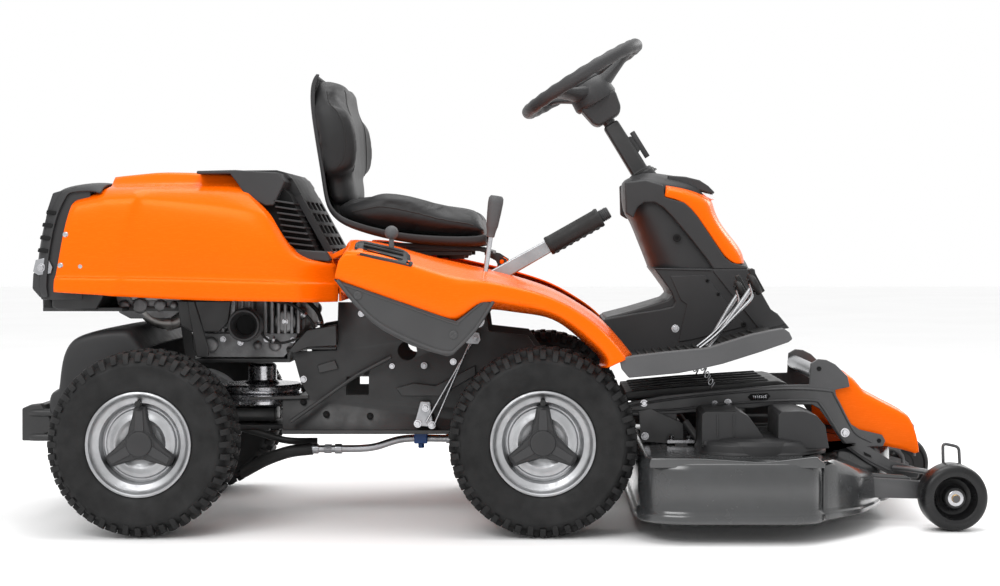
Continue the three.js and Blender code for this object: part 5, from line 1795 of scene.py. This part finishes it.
def rear_end():
    """Steered rear carriage: steering drum and its cable, fender cowl, bar and plate."""
    drum = Shape()
    drum.lathe([(0.5, 252), (88, 252), (93, 255), (93, 262), (87, 266), (87, 269), (93, 272),
                (93, 276), (84, 280), (84, 284), (93, 288), (93.5, 295), (89, 299), (42, 299),
                (38, 304), (33, 308), (33, 340), (29, 345), (0.5, 345)], (STEER_X, 0, 0),
               axis="z", segments=96)
    drum.piece("steering_drum", mat_bright, "rear_carriage", "zinc_steel", smooth=30)
    cable = Shape()
    for z in (270, 284):
        ring = [(STEER_X + 87 * math.cos(a), 87 * math.sin(a), z) for a in turns(96) + [TAU]]
        cable.tube(ring, 2.2, 8)
    cable.piece("steering_cable", mat_bright, "rear_carriage", "zinc_steel", smooth=60)
    rows = []
    top = [(-1008, 262), (-1010, 300), (-988, 306), (-980, 376), (-964, 410), (-944, 426),
           (-888, 438), (-836, 441), (-822, 438), (-800, 404), (-792, 398)]
    centre, foot = Vector((-900, 0, 300)), 262
    for y, fall in ((262, 150), (262, 18), (258, 7), (246, 2), (120, 0), (0, 0)):
        row = []
        for x, z in top:
            way = (Vector((x, 0, z)) - centre).normalized()
            drop = min(fall, max(0, z - foot)) if fall > 100 else fall
            row.append((x - way.x * min(fall, 24), -y, z - drop))
        rows.append(row)
    shape = Shape().sheet(rows, row_creases={0: 1, 1: 0.3}, column_creases={0: 1, 2: 0.5, 10: 1},
                          mirror=True)
    cowl = shape.piece("look_rear_fender", mat_dark, "rear_carriage", "dark_plastic", thick=4,
                       levels=2, smooth=180)
    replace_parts(cowl, "rear_fender")
    bar = Shape()
    for z in (198, 252):
        bar.tube(bent_path([(-996, -246, z), (-1060, -246, z), (-1060, 246, z), (-996, 246, z)],
                           26), 9, 18)
    bar.block(-1069.5, -1050, -238, 238, 192, 260)
    for sign in (-1, 1):
        bar.slab([(-1068, 262), (-1050, 270), (-1026, 273), (-1004, 240), (-1001, 212),
                  (-1050, 190), (-1068, 190)], sign, 226, 250)
    piece = bar.piece("look_rear_bar", mat_black, "rear_carriage", "dark_plastic", bevel=3,
                      sides=3)
    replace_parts(piece, "rear_bar")
    plate = Shape().prism([(-992, 290), (-996, 300), (-984, 300), (-984, 200), (-992, 200)],
                          -224, 224)
    for k in range(8):
        y = -196 + 56 * k
        plate.lathe([(5, 0), (5, 5), (0.5, 6)], (-992, y, 240), axis="x", segments=16, out=-1)
    plate.piece("rear_plate_trim", mat_frame, "rear_carriage", "frame_steel", bevel=1.4)


def seat_parts():
    """The shell behind the pads, their piping, and the slides and knob under the seat."""
    shape = Shape()
    contour = [(-420, 1014), (-431, 998), (-434, 956), (-427, 899), (-415, 826), (-408, 785),
               (-401, 733), (-391, 702), (-368, 680), (-338, 665), (-275, 646), (-205, 633),
               (-130, 627), (-47, 625), (-34, 632)]
    rows = []
    for y, x_in, z_up in ((206, 22, 22), (208, 6, 6), (196, 0, 0), (120, -2, -2), (0, -3, -3)):
        row = []
        for i, (x, z) in enumerate(contour):
            share = i / (len(contour) - 1)
            narrow = 0.9 if z > 690 or i > 13 else 1
            row.append((x + x_in * 0.5 * (1 - share), -y * narrow, z + z_up * share))
        rows.append(row)
    shape.sheet(rows, row_creases={0: 1}, column_creases={0: 0.6, 14: 0.8}, mirror=True)
    shell = shape.piece("look_seat_shell", mat_tower, "seat", "dark_plastic", thick=5, levels=2,
                        smooth=180)
    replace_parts(shell, "seat_shell")
    seams = Shape()
    for sign in (-1, 1):
        for pad_name, way in (
                ("look_seat_cushion", [(-330, 130, 740), (-240, 136, 740), (-160, 134, 716),
                                       (-90, 130, 704), (-30, 128, 690)]),
                ("look_seat_cushion", [(-350, 214, 700), (-268, 226, 716), (-200, 228, 706),
                                       (-120, 228, 688), (-56, 222, 676)]),
                ("look_seat_backrest", [(-330, 132, 790), (-320, 138, 850), (-330, 134, 930),
                                        (-350, 118, 990)]),
                ("look_seat_backrest", [(-372, 214, 792), (-350, 218, 830), (-350, 218, 900),
                                        (-372, 208, 950), (-390, 190, 990)])):
            pad_object = bpy.data.objects[pad_name]
            line = smooth_path([(x, sign * y, z) for x, y, z in way], 8)
            seams.tube([lay_on(pad_object, point, -0.4) for point in line], 1.8, 10)
    seams.piece("seat_piping", mat_hose, "seat", "seat_vinyl", smooth=60)
    rails = Shape()
    for sign in (-1, 1):
        rails.block(-330, -60, sign * 118 - 12, sign * 118 + 12, 612, 620)
        rails.block(-322, -70, sign * 118 - 8, sign * 118 + 8, 602, 612)
    rails.rod((-134, -60, 612), (-134, -60, 596), 20, segments=40)
    rails.piece("seat_rails", mat_frame, "seat_mount", "frame_steel", bevel=1.5)


engine()
exhaust()
chassis_details()
rear_end()
seat_parts()


def linkage():
    """The bellcrank's bolts, the thin rods that run up from it, and the clevis above."""
    shape = Shape()
    for x, z in ((-172, 256), (-190, 220), (-158, 217)):
        bolt(shape, (x, -172, z), radius=7, height=9, out=-1)
    shape.tube([(-172, -176, 222), (-56, -176, 423)], 2.6, 12)
    shape.tube([(-154, -180, 214), (-60, -184, 430)], 2.2, 12)
    shape.piece("lift_rods", mat_bright, "bellcrank", "zinc_steel", bevel=0.4)
    clevis = Shape()
    for sign in (-1, 1):
        clevis.slab([(-82, 414), (-78, 404), (-52, 402), (-46, 412), (-50, 428), (-64, 430)],
                    sign, 186, 192)
        bolt(clevis, (-58, sign * 192, 416), radius=6, height=5, out=sign)
        bolt(clevis, (-176, sign * 166, 352), radius=6, height=5, out=sign)
    clevis.piece("lift_clevis", mat_zinc, "chassis", "zinc_steel", bevel=1)


linkage()
